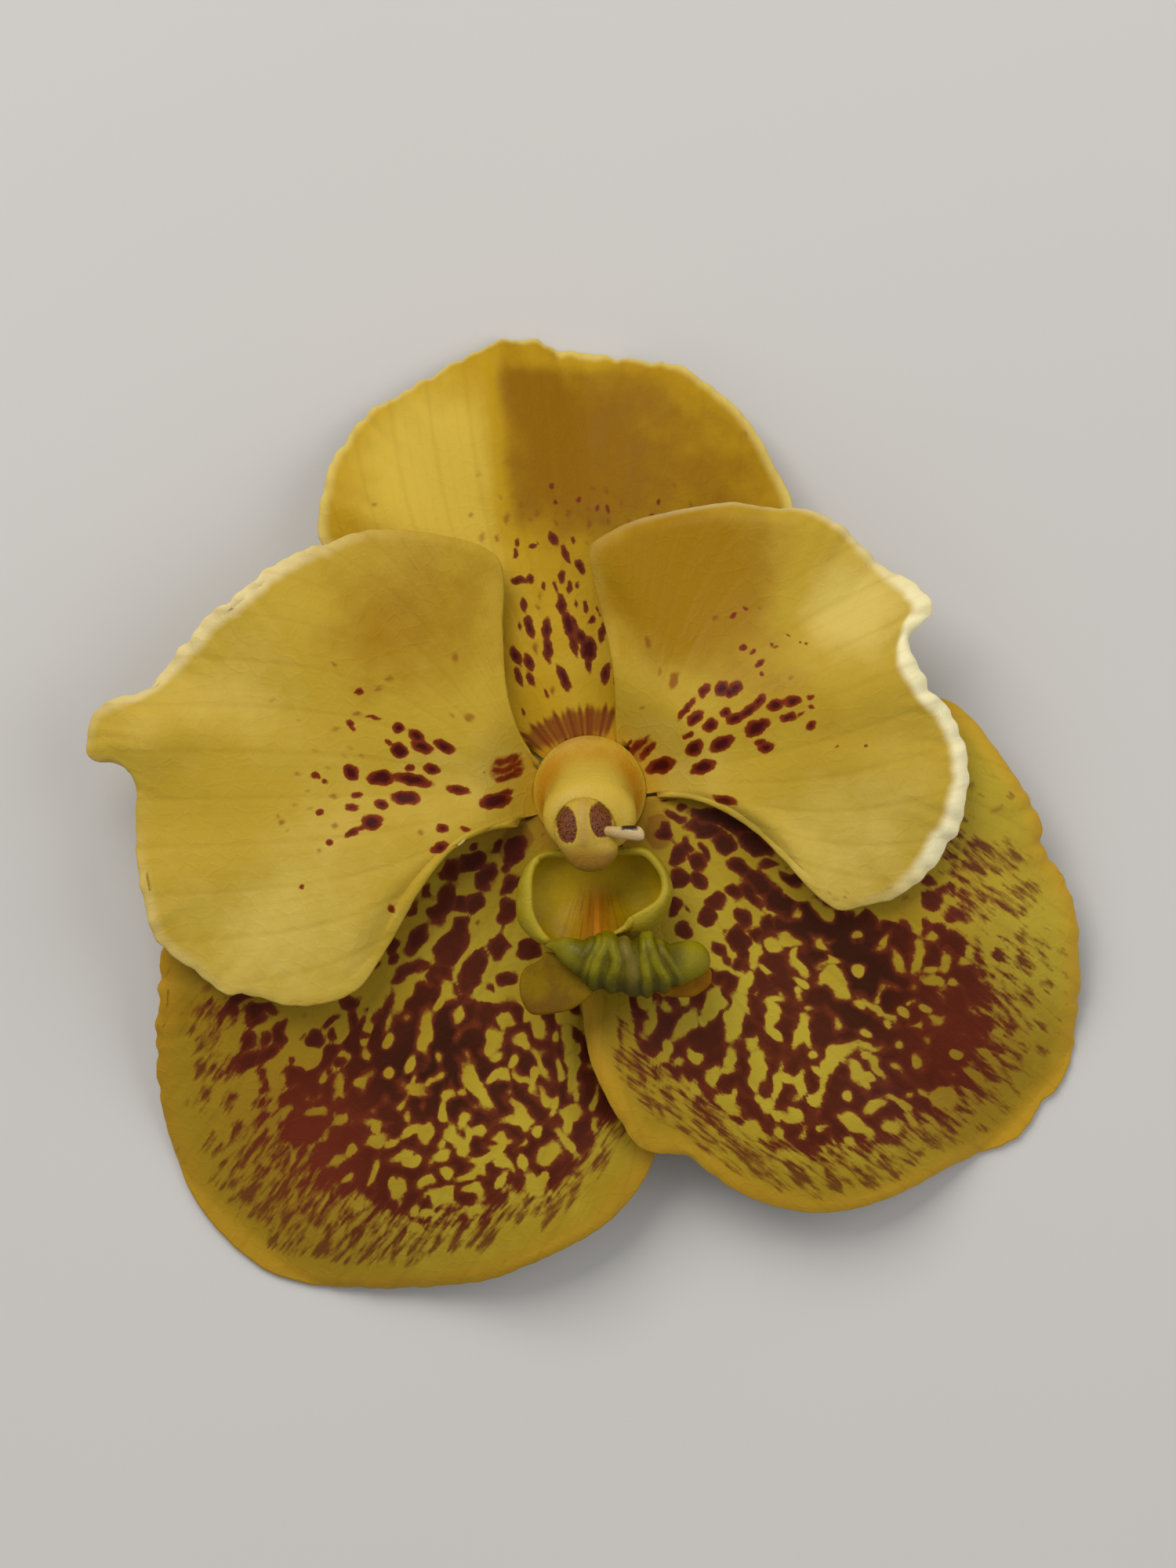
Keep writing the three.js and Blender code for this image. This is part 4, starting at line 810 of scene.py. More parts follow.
# Islands of bare ground in the net: x, y, length, width and angle
LEFT_ISLANDS = [
    [-16.5, -24.3, 4.3, 1.4, 85], [-11.4, -29.6, 5, 1.5, -60], [-17.8, -29.9, 2.2, 0.9, -15],
    [-17.7, -29, 1.5, 0.5, 80], [-14.2, -30.4, 1.8, 0.9, 80], [-9.6, -25, 2.8, 1.8, 60],
    [-9.4, -26.6, 1, 0.8, 0], [-8.6, -28.5, 1.6, 1.4, 0], [-6.6, -25.3, 2, 1.2, -30],
    [-4.8, -27.3, 3, 0.8, -65], [-6.4, -29.2, 2.8, 0.8, -50], [-4.3, -30.8, 2.2, 0.8, -60],
    [-1.7, -28.2, 4, 1.2, -85], [-2.2, -24.6, 3.4, 0.9, -75], [-5.2, -23.5, 2.6, 1.2, -60],
    [-8.5, -22.9, 1.6, 1.2, 0], [-13.1, -22.4, 1.6, 0.9, 60], [-14.3, -19.9, 2.2, 1, -65],
    [-18.7, -20.5, 4, 1, 60], [-17.9, -18.7, 1.8, 0.6, 25], [-10, -20.6, 3.8, 1.3, 0],
    [-20.1, -23.2, 1.6, 0.6, 70], [-18.3, -32.7, 1, 0.5, -60], [-13.3, -35.1, 3.8, 1.1, -60],
    [-12.7, -33, 2, 1.1, 80], [-11.2, -34.1, 1.8, 1, 20], [-14.2, -34.4, 1.2, 0.9, 0],
    [-16.4, -34.1, 2.2, 1.5, 60], [-8.7, -34.9, 1.7, 1.1, -20], [-6.9, -35.3, 1, 0.6, 60],
    [-6.9, -32.4, 3.6, 1.3, -60], [-7.6, -33, 2, 1, 0], [-21.8, -33.4, 1.8, 0.7, -10],
    [-21.6, -35.2, 2.4, 1.3, 10], [-25.3, -33.2, 1.8, 0.8, 50], [-32, -33.6, 2.8, 1.2, 65],
    [-30.9, -32.5, 2.2, 0.7, 20], [-27.6, -32.3, 2.2, 0.9, 10], [-27.3, -35.1, 2.4, 0.6, 40],
    [-25.4, -37.2, 2.2, 0.7, 30], [-18.8, -36.7, 2.4, 0.9, 20], [-15, -36.7, 2.2, 0.9, 25],
    [-11.1, -36.9, 1.4, 0.8, 0], [-11.1, -38.2, 1.7, 1.1, 0], [-8.8, -36.9, 3.2, 1.1, -45],
    [-4.1, -36.4, 2.8, 2, 30], [-2.3, -35.2, 3.6, 1, -55], [-14.3, -38.3, 1.3, 1.2, 0],
    [-16.6, -39.3, 2.1, 1.4, 45], [-19.2, -40.2, 2.6, 1.7, 80], [-14.8, -40.8, 2.7, 2, 45],
    [-11.6, -40, 2.2, 1.3, -10], [-11.7, -42.1, 2.8, 1.1, 15], [-8.7, -39.1, 1.6, 0.8, 80],
    [-7.8, -40.7, 1.8, 0.9, -70], [-5.6, -39.5, 3.2, 1.4, -60], [-3.8, -40.3, 1.6, 0.7, -40],
    [-1.9, -39.1, 1, 1, 0], [0.6, -33.5, 1.4, 0.9, 80], [2.1, -35.5, 2.6, 0.9, 85],
    [0.6, -36.1, 1, 1, 0], [-1.8, -32.4, 2.6, 1.7, 0], [0.2, -39.4, 3.2, 0.9, 60],
    [-28.5, -44.7, 1.8, 1.4, 0], [-26, -43.2, 2, 1, 80], [-23.3, -41.8, 2, 1.3, 70],
    [-21.1, -44.2, 2.2, 1.4, 60], [-17.8, -44, 2, 1.3, -30], [-16.4, -42.8, 1.8, 1.2, 0],
    [-14.2, -44.6, 1.6, 0.9, 60], [-8.8, -43.4, 1.8, 1, 40], [-6, -43, 1.6, 1, 0],
    [-35, -35.2, 1.8, 0.8, 45], [-33.5, -37.4, 1.6, 0.6, 20], [-22, -39, 1.2, 0.7, 80],
    [-34.6, -29.6, 3, 1.9, 20], [-31.6, -29.8, 3, 1.2, 60], [-25.3, -29.6, 2.4, 0.7, 80],
    [-22.6, -29, 1.4, 0.6, 60], [-36.2, -25, 3, 1.6, 45],
]
RIGHT_ISLANDS = [
    [24.7, -18.8, 3.6, 1.9, -65], [23.7, -18.7, 1.8, 1.3, 20], [25.7, -20.3, 1.4, 0.8, 0],
    [18.2, -22.4, 3.2, 1.2, 85], [18.4, -20.9, 1.8, 0.8, 20], [21.2, -24, 3.6, 1.4, 75],
    [22.4, -26.2, 1, 0.9, 0], [16.8, -27.9, 4.8, 1.8, 85], [16.2, -25.2, 1.6, 0.9, 60],
    [18.7, -29.6, 4.4, 0.9, 75], [18, -31.4, 1.1, 1, 0], [21.1, -29.4, 2.8, 1.1, 80],
    [24.2, -27, 3.6, 1.5, 60], [23.3, -29.8, 4, 0.9, 75], [25.7, -25.8, 2.8, 1.2, 20],
    [26.9, -28.2, 3.4, 1.1, -60], [27.6, -29.4, 1.2, 0.7, 0], [28.8, -27.6, 3.4, 0.9, -60],
    [28, -25.6, 2.4, 0.6, -10], [12.4, -21.2, 3.6, 1.8, 70], [9.6, -23.3, 3.6, 1.5, 50],
    [14.6, -22.6, 5.2, 1.9, 80], [14.1, -26.8, 2.2, 1.1, 80], [12.4, -28.5, 2, 1.3, 70],
    [10.3, -30, 2, 1, 80], [7.1, -29.5, 3.2, 1.3, 75], [8.9, -27.1, 1.1, 0.8, 0],
    [10.4, -26.6, 2, 0.9, -50], [6.8, -26.7, 2, 1.5, 0], [6.2, -22.8, 3.2, 1.2, 75],
    [8.9, -31.9, 1.4, 0.9, -60], [4.9, -30.2, 2.2, 1, 70], [7.6, -34.2, 0.9, 0.7, 0],
    [13.9, -31.4, 2.8, 2, -30], [14.4, -30.4, 1.4, 0.9, 60], [16.2, -33.9, 2.3, 1.8, 0],
    [20.5, -32.4, 2.2, 1.4, -20], [19, -34, 1.6, 1, 30], [23.3, -33.7, 1, 0.8, 0],
    [26.4, -33.2, 2.5, 1.6, -30], [27.8, -34.3, 2, 0.7, -30], [28.6, -31.6, 2.2, 1, 30],
    [30.4, -33.7, 2, 1.3, -10], [32.6, -33.1, 1.8, 1, -60], [34.4, -33.9, 1.1, 0.9, 0],
    [33.1, -27.1, 1.4, 1.2, 80], [35.8, -30.9, 3.5, 2.2, -20], [38.6, -28.2, 1.8, 1.1, -20],
    [32.3, -21.3, 0.9, 0.6, 0], [33, -23.6, 0.8, 0.5, 0], [34.9, -22.9, 1.5, 0.6, 0],
    [32.2, -30.6, 0.8, 0.6, 0], [28.6, -21.8, 2.8, 0.9, -40], [30, -22.7, 1.8, 0.7, -30],
    [28.9, -20.8, 1.1, 0.6, 60], [20.9, -17.6, 2.4, 1, -50], [18.6, -15.4, 1.8, 1.3, 0],
    [19.9, -14.9, 2.4, 0.8, -20], [16.6, -16.6, 2.8, 0.9, 75], [15.6, -19.2, 2.6, 1.1, 70],
    [23.2, -15.3, 1.6, 0.7, -40], [21, -20.4, 1.1, 0.7, 70], [25.9, -35.4, 1.2, 0.9, 70],
    [23.8, -35.9, 1, 0.9, 0], [28.6, -36.8, 2.2, 1.2, 70], [26.4, -37.2, 0.9, 0.7, 0],
    [18.1, -37.4, 2.2, 1.1, 70], [19.8, -36.5, 1.2, 0.9, 0], [19, -38.7, 1.6, 0.9, -30],
    [22.7, -38.3, 2, 1, -50], [31, -36.2, 2.8, 1, -30], [29.4, -38.6, 1.6, 0.7, -20],
    [32.8, -35.8, 1.8, 0.8, -30], [12.2, -34.1, 1.1, 0.8, 0], [13.4, -35, 1.4, 0.6, 20],
    [26.2, -38.8, 1.4, 0.7, 0], [33, -16.6, 4, 1.1, 80], [34.6, -19, 2.6, 1.1, -30],
    [35.7, -17.2, 1.8, 0.9, 80], [31, -17, 2.2, 0.7, -60], [29.6, -15, 1.4, 0.8, 60],
    [41, -8.6, 2.4, 1.2, -20], [40.9, -11.5, 2.8, 0.9, -60], [38.9, -9.4, 1.8, 0.8, -30],
    [36.2, -11, 1.8, 1, -60], [37.1, -6.8, 1.3, 1, 80], [39.4, -13.2, 3.2, 1, -60],
    [42.6, -13.4, 3.6, 1.4, -20], [38.3, -15.9, 1.6, 0.9, 60], [40.2, -17.9, 1.8, 0.9, -20],
    [42.5, -19.6, 2.4, 0.8, -15], [40.9, -22.3, 2.6, 0.8, -15],
]
# Where the net lies: x, y, weight and spread
LEFT_COVER = [
    [-17, -26, 1.2, 3.6], [-13, -23, 0.9, 2.8], [-21, -31, 1.3, 4], [-28, -34, 0.75, 4], [-33, -36, 0.4, 3],
    [-14, -33, 1.4, 5], [-22, -39, 1.3, 5], [-8, -27, 1, 3.6], [-5, -34, 1.3, 5], [-3, -27, 0.9, 3.4],
    [-9, -41, 1.2, 5], [-16, -43, 0.8, 4], [2, -36, 1, 4], [-29, -40, 0.5, 3.5], [0, -31, 0.8, 3],
    [-25, -44, 0.7, 3.5], [-36, -38, 0.5, 3], [-33, -42, 0.5, 3.5], [-28, -45, 0.5, 3.5],
]
RIGHT_COVER = [
    [21, -16, 1.1, 3.5], [27, -18, 1.4, 3.6], [24, -22, 1.2, 4], [32, -21, 0.95, 3.8], [35, -26, 0.75, 4.5],
    [20, -25, 1.2, 4.5], [14, -23, 0.7, 3.5], [12, -29, 1.1, 4.5], [7, -30, 1, 3.5], [6, -24, 0.6, 3],
    [26, -31, 1.3, 5], [16, -34, 1.2, 4.5], [24, -37, 1, 4.5], [33, -33, 0.85, 4.5], [37, -17, 0.55, 3.2],
    [40, -24, 0.35, 4], [43, -22, 0.3, 3], [44, -16, 0.6, 2.6], [42, -28, 0.3, 3],
]
# Where a haze of fine red lies between the marks, and further down where the maroon is darkest
LEFT_HAZE = [[-30, -38, 0.2, 6], [-31, -31, 0.22, 5], [-22, -43, 0.15, 5]]
RIGHT_HAZE = [[35, -24, 0.25, 6], [41, -22, 0.15, 5], [36, -32, 0.15, 5]]
LEFT_DEEP = [[-14.5, -24, 0.9, 2.4], [-18.5, -28, 0.9, 2.4], [-13.5, -30, 0.8, 2.6], [-7, -30, 0.5, 4]]
RIGHT_DEEP = [
    [20, -11, 0.9, 2.4], [24, -14.5, 1, 2.4], [28, -18.5, 1, 2.4], [27, -23, 0.6, 3], [14, -4, 0.7, 4],
]
# The plain margin: share of the way round, its width and how deep the streaked fringe runs inside it
LEFT_PLAIN = [
    [0, 2, 4], [0.15, 3, 4], [0.25, 3.2, 5], [0.34, 2.8, 9], [0.42, 2.2, 16], [0.5, 2.4, 16], [0.57, 3, 10],
    [0.64, 3.6, 6], [0.72, 4, 5], [0.82, 3.4, 4], [1, 2, 4],
]
RIGHT_PLAIN = [
    [0, 1.5, 4], [0.1, 2.6, 5], [0.2, 2.8, 7], [0.28, 2, 8], [0.4, 2, 8], [0.5, 2, 12], [0.6, 1.4, 17],
    [0.68, 1.2, 18], [0.76, 2, 12], [0.84, 3.4, 6], [0.92, 6, 4], [1, 2.5, 4],
]
# Lumps of paler (above 0) and darker ochre: x, y, height and spread. They are partly the sepals' own tone and
# partly painted light and shade. The dark lumps under the left petal's lower margin and below the lip are
# painted shadow
LEFT_TONES_AND_SHADE = [
    [-30, -13, -0.5, 6], [-40, -20, -0.4, 5], [-12, -14, 0.4, 7], [-8, -34, 0.6, 9], [-18, -42, 0.4, 6],
]
RIGHT_TONES_AND_SHADE = [
    [40, 3, 0.9, 7], [46, -16, 0.9, 6], [14, -22, 0.6, 8], [26, -28, 0.7, 9], [2, -24, -0.3, 5],
    [10, -8, 0.3, 6],
]
NOISE_WAVES = 150


def vein_noise(plan, way, length, stretch, seed):
    """Random noise of unit spread whose lumps are drawn out along the veins"""
    dice = np.random.default_rng(seed)
    total = np.zeros(plan.shape[:-1])
    power = np.zeros(plan.shape[:-1])
    for _ in range(NOISE_WAVES):
        angle, phase = dice.uniform(0, np.pi), dice.uniform(0, 2 * np.pi)
        number = 2 * np.pi / (length * dice.uniform(0.72, 1.4))
        kx, ky = number * np.cos(angle), number * np.sin(angle)
        damp = np.exp(-0.5 * (stretch * (kx * way[..., 0] + ky * way[..., 1])) ** 2)
        total += damp * np.cos(kx * plan[..., 0] + ky * plan[..., 1] + phase)
        power += damp**2 / 2
    return total / np.sqrt(power)


def lateral_marks(blotches, islands, cover, haze, deep, plain, tones_and_shade, seed):
    """The painted fields of a lateral sepal: separate drops, the net round its islands and a torn fringe"""
    def marks(plan, u, way, margin):
        stray = [vein_noise(plan, way, 2.2, 0, seed + k) for k in (2, 3)]
        stray = np.stack(stray, axis=-1)
        dark, faint = fleck_fields(plan + 0.13 * stray, blotches)
        bare, _ = fleck_fields(plan + 0.15 * stray, [[*island, 1] for island in islands])
        stations, width, fringe = np.transpose(plain)
        plain_width = np.interp(u, stations, width) * (1 + 0.18 * ripple(u, (0.11, 0.07, 0.05), seed))
        # Near is 0 over the net and 1 at the outer edge of the streaked fringe
        near = np.clip((plain_width - margin) / np.interp(u, stations, fringe) + 1, 0, 1)
        near = near * smooth((np.hypot(plan[..., 0], plan[..., 1]) - 16) / 6)
        broad = vein_noise(plan, way, 2.3, 0.5, seed)
        fine = vein_noise(plan, way, 1.5, 0.8, seed + 1)
        weight = np.clip(lumps(plan, cover), 0, 1)
        net = 0.42 * ((1 - near) * broad + near * (0.6 * broad + 0.7 * fine - 0.3) - 2.2 + 3.5 * weight)
        inked = np.minimum(np.maximum(dark + 0.08, net), -0.9 * bare)
        # The fringe thins towards the margin, torn along the veins, and the margin itself stays plain
        torn = np.maximum(1 - 2.4 * near, 0.08) + 0.3 * near * vein_noise(plan, way, 1.8, 1.5, seed + 4)
        inked = np.minimum(inked, torn) - 1.2 * smooth((plain_width + 1.2 - margin) / 2.4)
        fields = {"fleck": np.clip(inked, -1, 1), "soft": near}
        fields["blush"] = np.maximum(faint, lumps(plan, haze) * smooth((margin - 1) / 4))
        # Tone holds the sepal's own tone together with painted light and shade
        return {**fields, "tone": lumps(plan, tones_and_shade), "deep": np.clip(lumps(plan, deep), 0, 1)}
    return marks


def lateral_colour(red_x, red_y, rim):
    def colour(tree, surface):
        # The claw's tint is darker than the ground: painted shade under the column and the lip
        made = ground(
            tree, surface, paint(190, 166, 48), paint(168, 136, 28), paint(142, 102, 10), paint(150, 104, 20))
        rimmed = tinted(tree, slope(tree, field(tree, "margin"), 3.6, 0.8, 0.0, 0.7), made, rim)
        sided = backed(tree, rimmed, paint(194, 168, 84))
        lined, height = veined(tree, sided, LATERAL_LEFT["veins"], paint(116, 84, 14), 0.1)
        blushed = tinted(tree, field(tree, "blush"), lined, paint(120, 54, 22))
        near = field(tree, "soft")
        softness = slope(tree, near, 0.0, 1.0, 0.12, 0.5)
        course = {"X": times(tree, field(tree, "vein"), field(tree, "gap"))}
        course["Y"] = times(tree, field(tree, "reach"), 0.2)
        course = node(tree, "CombineXYZ", course)
        streaks = node(tree, "TexNoise", {"Vector": course, "Scale": 2.1, "Detail": 3.0})
        drawn = times(tree, times(tree, maths(tree, "SUBTRACT", streaks, 0.5), near), 3.8)
        depth = maths(tree, "ADD", field(tree, "fleck"), drawn)
        drops = grouped(tree, ink, Depth=depth, Softness=softness)
        core = tinted(tree, surface.outputs["Mottle"], paint(60, 12, 6), paint(94, 30, 14))
        ends = {0: millimetres(tree), 1: (red_x, red_y, 0)}
        away = node(tree, "VectorMath", ends, out="Value", operation="DISTANCE")
        redder = tinted(tree, slope(tree, away, 12.0, 3.0, 0.0, 0.7), core, paint(126, 46, 24))
        dark = tinted(tree, field(tree, "deep"), redder, paint(54, 12, 5))
        purple = tinted(tree, times(tree, near, 0.7), dark, paint(112, 40, 28))
        edged = tinted(tree, drops["Core"], paint(110, 40, 18), purple)
        front = slope(tree, field(tree, "side"), 0.2, 0.9)
        strength = times(tree, front, slope(tree, near, 0.3, 1.0, 0.98, 0.78))
        return tinted(tree, times(tree, drops["Mask"], strength), blushed, edged), height
    return colour


left_marks = lateral_marks(
    LEFT_BLOTCHES, LEFT_ISLANDS, LEFT_COVER, LEFT_HAZE, LEFT_DEEP, LEFT_PLAIN, LEFT_TONES_AND_SHADE, 71)
right_marks = lateral_marks(
    RIGHT_BLOTCHES, RIGHT_ISLANDS, RIGHT_COVER, RIGHT_HAZE, RIGHT_DEEP, RIGHT_PLAIN, RIGHT_TONES_AND_SHADE, 81)
lateral_left = blade_sheet("lateral_sepal_left", LATERAL_LEFT, left_marks)
lateral_right = blade_sheet("lateral_sepal_right", LATERAL_RIGHT, right_marks)
left_flesh = flesh("Left lateral sepal flesh", 0.5, lateral_colour(-28, -33, paint(180, 136, 32)), shine=0.1)
right_flesh = flesh("Right lateral sepal flesh", 0.5, lateral_colour(35, -21, paint(200, 152, 38)), shine=0.1)
fit(lateral_left, left_flesh, "lateral_sepal", "lateral_sepal_left")
fit(lateral_right, right_flesh, "lateral_sepal", "lateral_sepal_right")

# Petals
# The two upper petals, broad and round on narrow claws, pale yellow and waxy. Their veins lie in soft
# grooves, their margins turn back and crinkle, and drops of maroon lie along the veins of their lower half.
PETAL_LEFT = {
    "root": [181, 23],
    "aim": 181,
    "tuck": 0,
    "form": [4.2, 44, 2.6, 2, 25, 1.6],
    "wave": [0.55, 6.5, 0.4],
    "frill": [0.28, 0.4],
    "crisp": [[-30, 23, 0.6, 7], [-38, 17, 0.65, 7], [-44, 10, 0.6, 5], [-36, -20, 0.4, 7],
              [-45, -8, 0.3, 8]],
    "spread": 24,
    "veins": 5,
    "groove": 0.018,
    "seed": 61,
    "grid": [301, 140],
    "swells": [[-44, 5, 1.6, 3.5, 2.2, 10], [-30, 17, 0.9, 9, 3, -35], [-13, 0.5, -0.9, 9, 2.2, 0],
               [-26, -12, 0.8, 8, 4, 40]],
    "outline": [
        [-4.9, 2.9, 10], [-6.9, 5.4, 10], [-8.3, 10, 20], [-8.7, 16, 35], [-8.7, 22, 45],
        [-10.4, 24.3, 40], [-15.1, 25.6, 35], [-21.4, 26.2, 25], [-27.7, 24.5, 20], [-31.6, 22.7, 20],
        [-35.6, 19.5, 20], [-39.5, 16.3, 20], [-42.3, 12.6, 20], [-44.2, 10.4, 25], [-47.4, 9.4, 40],
        [-49.4, 8.2, 50], [-50.3, 5.1, 55], [-49.9, 3.2, 50], [-47, 2.8, 35], [-45.3, 1.3, 20],
        [-45.3, -2.5, 15], [-45.1, -7.5, 15], [-43.9, -13.2, 15], [-42.4, -15.9, 15], [-39.3, -18, 20],
        [-36.4, -20.3, 25], [-34.3, -20.2, 25], [-30.5, -21.2, 25], [-26.5, -21.1, 25],
        [-22.9, -19.4, 25], [-19.8, -14.8, 20], [-16.9, -9.7, 20], [-13.5, -5.5, 15],
        [-10.2, -3.8, 10], [-7.2, -3.4, 5],
    ],
}
PETAL_RIGHT = {
    "root": [20, 22],
    "aim": 22,
    "tuck": 0,
    "form": [4.4, 40, 1.8, 2, 24, 1.4],
    "wave": [0.6, 6, 2.1],
    "frill": [0.28, 0.4],
    "crisp": [[37, 3, 0.45, 7], [33, 12, 0.6, 6], [28, 25, 0.55, 7], [36, -5, 0.3, 5], [32, -10, 0.2, 6]],
    "spread": 23,
    "veins": 5,
    "groove": 0.018,
    "seed": 67,
    "grid": [301, 140],
    "swells": [[24, 9, 2.2, 9, 4.5, 15], [10, 19, -1.2, 7, 6, 60], [13, 3, -0.8, 8, 2.2, 22],
               [27, -3, 0.8, 7, 5, 60]],
    "outline": [
        [6.9, -0.5, 5], [10.1, -0.6, 10], [13.6, -2, 15], [16.6, -4, 20], [19.5, -6.9, 20],
        [22.3, -10, 20], [25, -11.8, 25], [28.2, -11.1, 25], [30.5, -10.6, 30], [33.5, -8.5, 40],
        [35.7, -5.5, 55], [37, -3.5, 65], [37.8, 0.5, 75], [37.5, 5.1, 80], [36, 8, 80],
        [34.1, 10.2, 70], [32.6, 13, 55], [31.7, 14.8, 45], [32.5, 16.2, 45], [34.1, 17.7, 50],
        [33.8, 19.7, 55], [32.1, 21.1, 60], [29.8, 22.2, 65], [27.4, 24.6, 75], [24.6, 27, 85],
        [21.5, 28.2, 95], [17.6, 28.4, 100], [14, 28.9, 100], [9.3, 28.2, 95], [4.6, 27.1, 80],
        [1.4, 25.5, 60], [0, 24.2, 50], [0.5, 20.8, 40], [1.7, 16, 30], [2.6, 10.5, 20], [2.65, 4.65, 8],
    ],
}
LEFT_FLECKS = [
    [-19, 6.4, 1.3, 1.3, 0, 1], [-17.2, 5.6, 1.9, 1.3, -25, 1], [-16.7, 4.5, 2.5, 1.2, -25, 1],
    [-18.9, 4.1, 1.9, 1.6, 0, 1], [-20, 5, 1, 0.5, -30, 1], [-14.4, 4.5, 2.4, 1.2, -22, 1],
    [-23.7, 1.9, 1.9, 1.5, -50, 1], [-20.8, 1.4, 2.8, 1.7, 0, 1], [-17.6, 1.2, 4.1, 1.3, -12, 1],
    [-15.7, 2.3, 1.8, 1.1, 0, 1], [-17.9, 2.4, 1, 0.8, 0, 1], [-13.1, 0.2, 2.5, 1, -8, 1],
    [-18.3, -0.6, 3, 1.5, -3, 1], [-20.7, -1.2, 1.5, 1.1, -15, 1], [-23.6, -1.5, 1.5, 0.8, 0, 1],
    [-23.2, -0.3, 1.3, 0.7, 8, 1], [-25.4, -0.5, 0.8, 0.5, 0, 0.6], [-21.6, -3, 2.3, 1.6, 8, 1],
    [-23.6, -4.1, 1.6, 0.9, 25, 1], [-22.7, -3.6, 1, 0.5, 30, 1], [-26.8, -2, 0.9, 0.8, 0, 1],
    [-25.9, -5, 0.7, 0.7, 0, 0.9], [-26.9, -5.9, 0.5, 0.4, 30, 0.6], [-27.3, 1.6, 1.1, 0.7, -40, 0.9],
    [-26.4, 1.1, 0.7, 0.5, -30, 0.8], [-30.6, -3, 0.5, 0.5, 0, 0.7], [-31, -2.4, 0.4, 0.3, 0, 0.6],
    [-30.1, -3.9, 0.4, 0.3, 0, 0.5], [-25.3, -3.4, 0.6, 0.5, 0, 0.6], [-22.9, 9.9, 0.9, 0.8, 0, 0.8],
    [-21, 10.3, 0.9, 0.4, 30, 0.7], [-19.9, 11.2, 0.8, 0.6, 0, 0.6], [-23.8, 6.8, 0.9, 0.7, -30, 0.9],
    [-23.5, 6.3, 0.6, 0.5, 0, 0.8], [-23.1, 7.8, 0.7, 0.4, 10, 0.7], [-21.5, 7.4, 1.7, 0.4, -12, 0.8],
    [-25.3, 6.3, 0.8, 0.4, 15, 0.6], [-22.6, 3.6, 0.4, 0.4, 0, 0.6], [-27.3, 4.1, 0.4, 0.3, 0, 0.5],
    [-23.7, 4.4, 0.4, 0.3, 0, 0.5], [-24.4, 3.6, 0.3, 0.3, 0, 0.5], [-28.2, 0, 0.4, 0.3, 0, 0.5],
    [-29.3, -1.2, 0.4, 0.3, 0, 0.5], [-27.8, -1.6, 0.4, 0.3, 0, 0.5], [-26, 2.4, 0.4, 0.3, 0, 0.5],
    [-29, 1.8, 0.5, 0.4, 0, 0.6], [-29, 7.2, 0.3, 0.3, 0, 0.4], [-13.3, 13.4, 0.8, 0.6, 80, 0.6],
    [-12, 7.4, 1, 0.8, -50, 0.6], [-13.6, 7.5, 0.5, 0.3, -30, 0.5], [-10.4, 1.9, 0.4, 0.3, 0, 0.8],
    [-14.6, -3.6, 1.4, 1, -5, 0.9], [-12.4, -3.7, 1.2, 0.5, 0, 1], [-14.9, -5.5, 2, 1.1, 22, 1],
    [-16.8, -4.1, 0.6, 0.5, 0, 0.6], [-28.6, -9.5, 0.6, 0.5, 0, 0.8], [-19.7, -11.6, 1.1, 0.7, -60, 0.9],
    [-25.4, 12.6, 0.6, 0.4, 0, 0.7], [-31.5, 9.1, 0.3, 0.3, 0, 0.6], [-8.1, 3.3, 2.4, 0.5, 32, 0.8],
    [-8, 2.4, 2.8, 0.6, 24, 0.8], [-8.1, 1.5, 2.8, 0.7, 18, 0.8], [-9.2, 2.2, 1.2, 0.5, 10, 0.8],
    [-9.4, -0.9, 3.3, 1.7, 8, 0.8], [-8.6, -0.2, 2.4, 0.7, 20, 0.8], [-7.4, 3.3, 1.6, 0.5, 38, 0.8],
    [-9, 3, 1.3, 0.5, 28, 0.8], [-7.2, 2.1, 1.4, 0.5, 24, 0.8], [-8.2, 2.4, 3.6, 2.6, 25, 0.5],
]
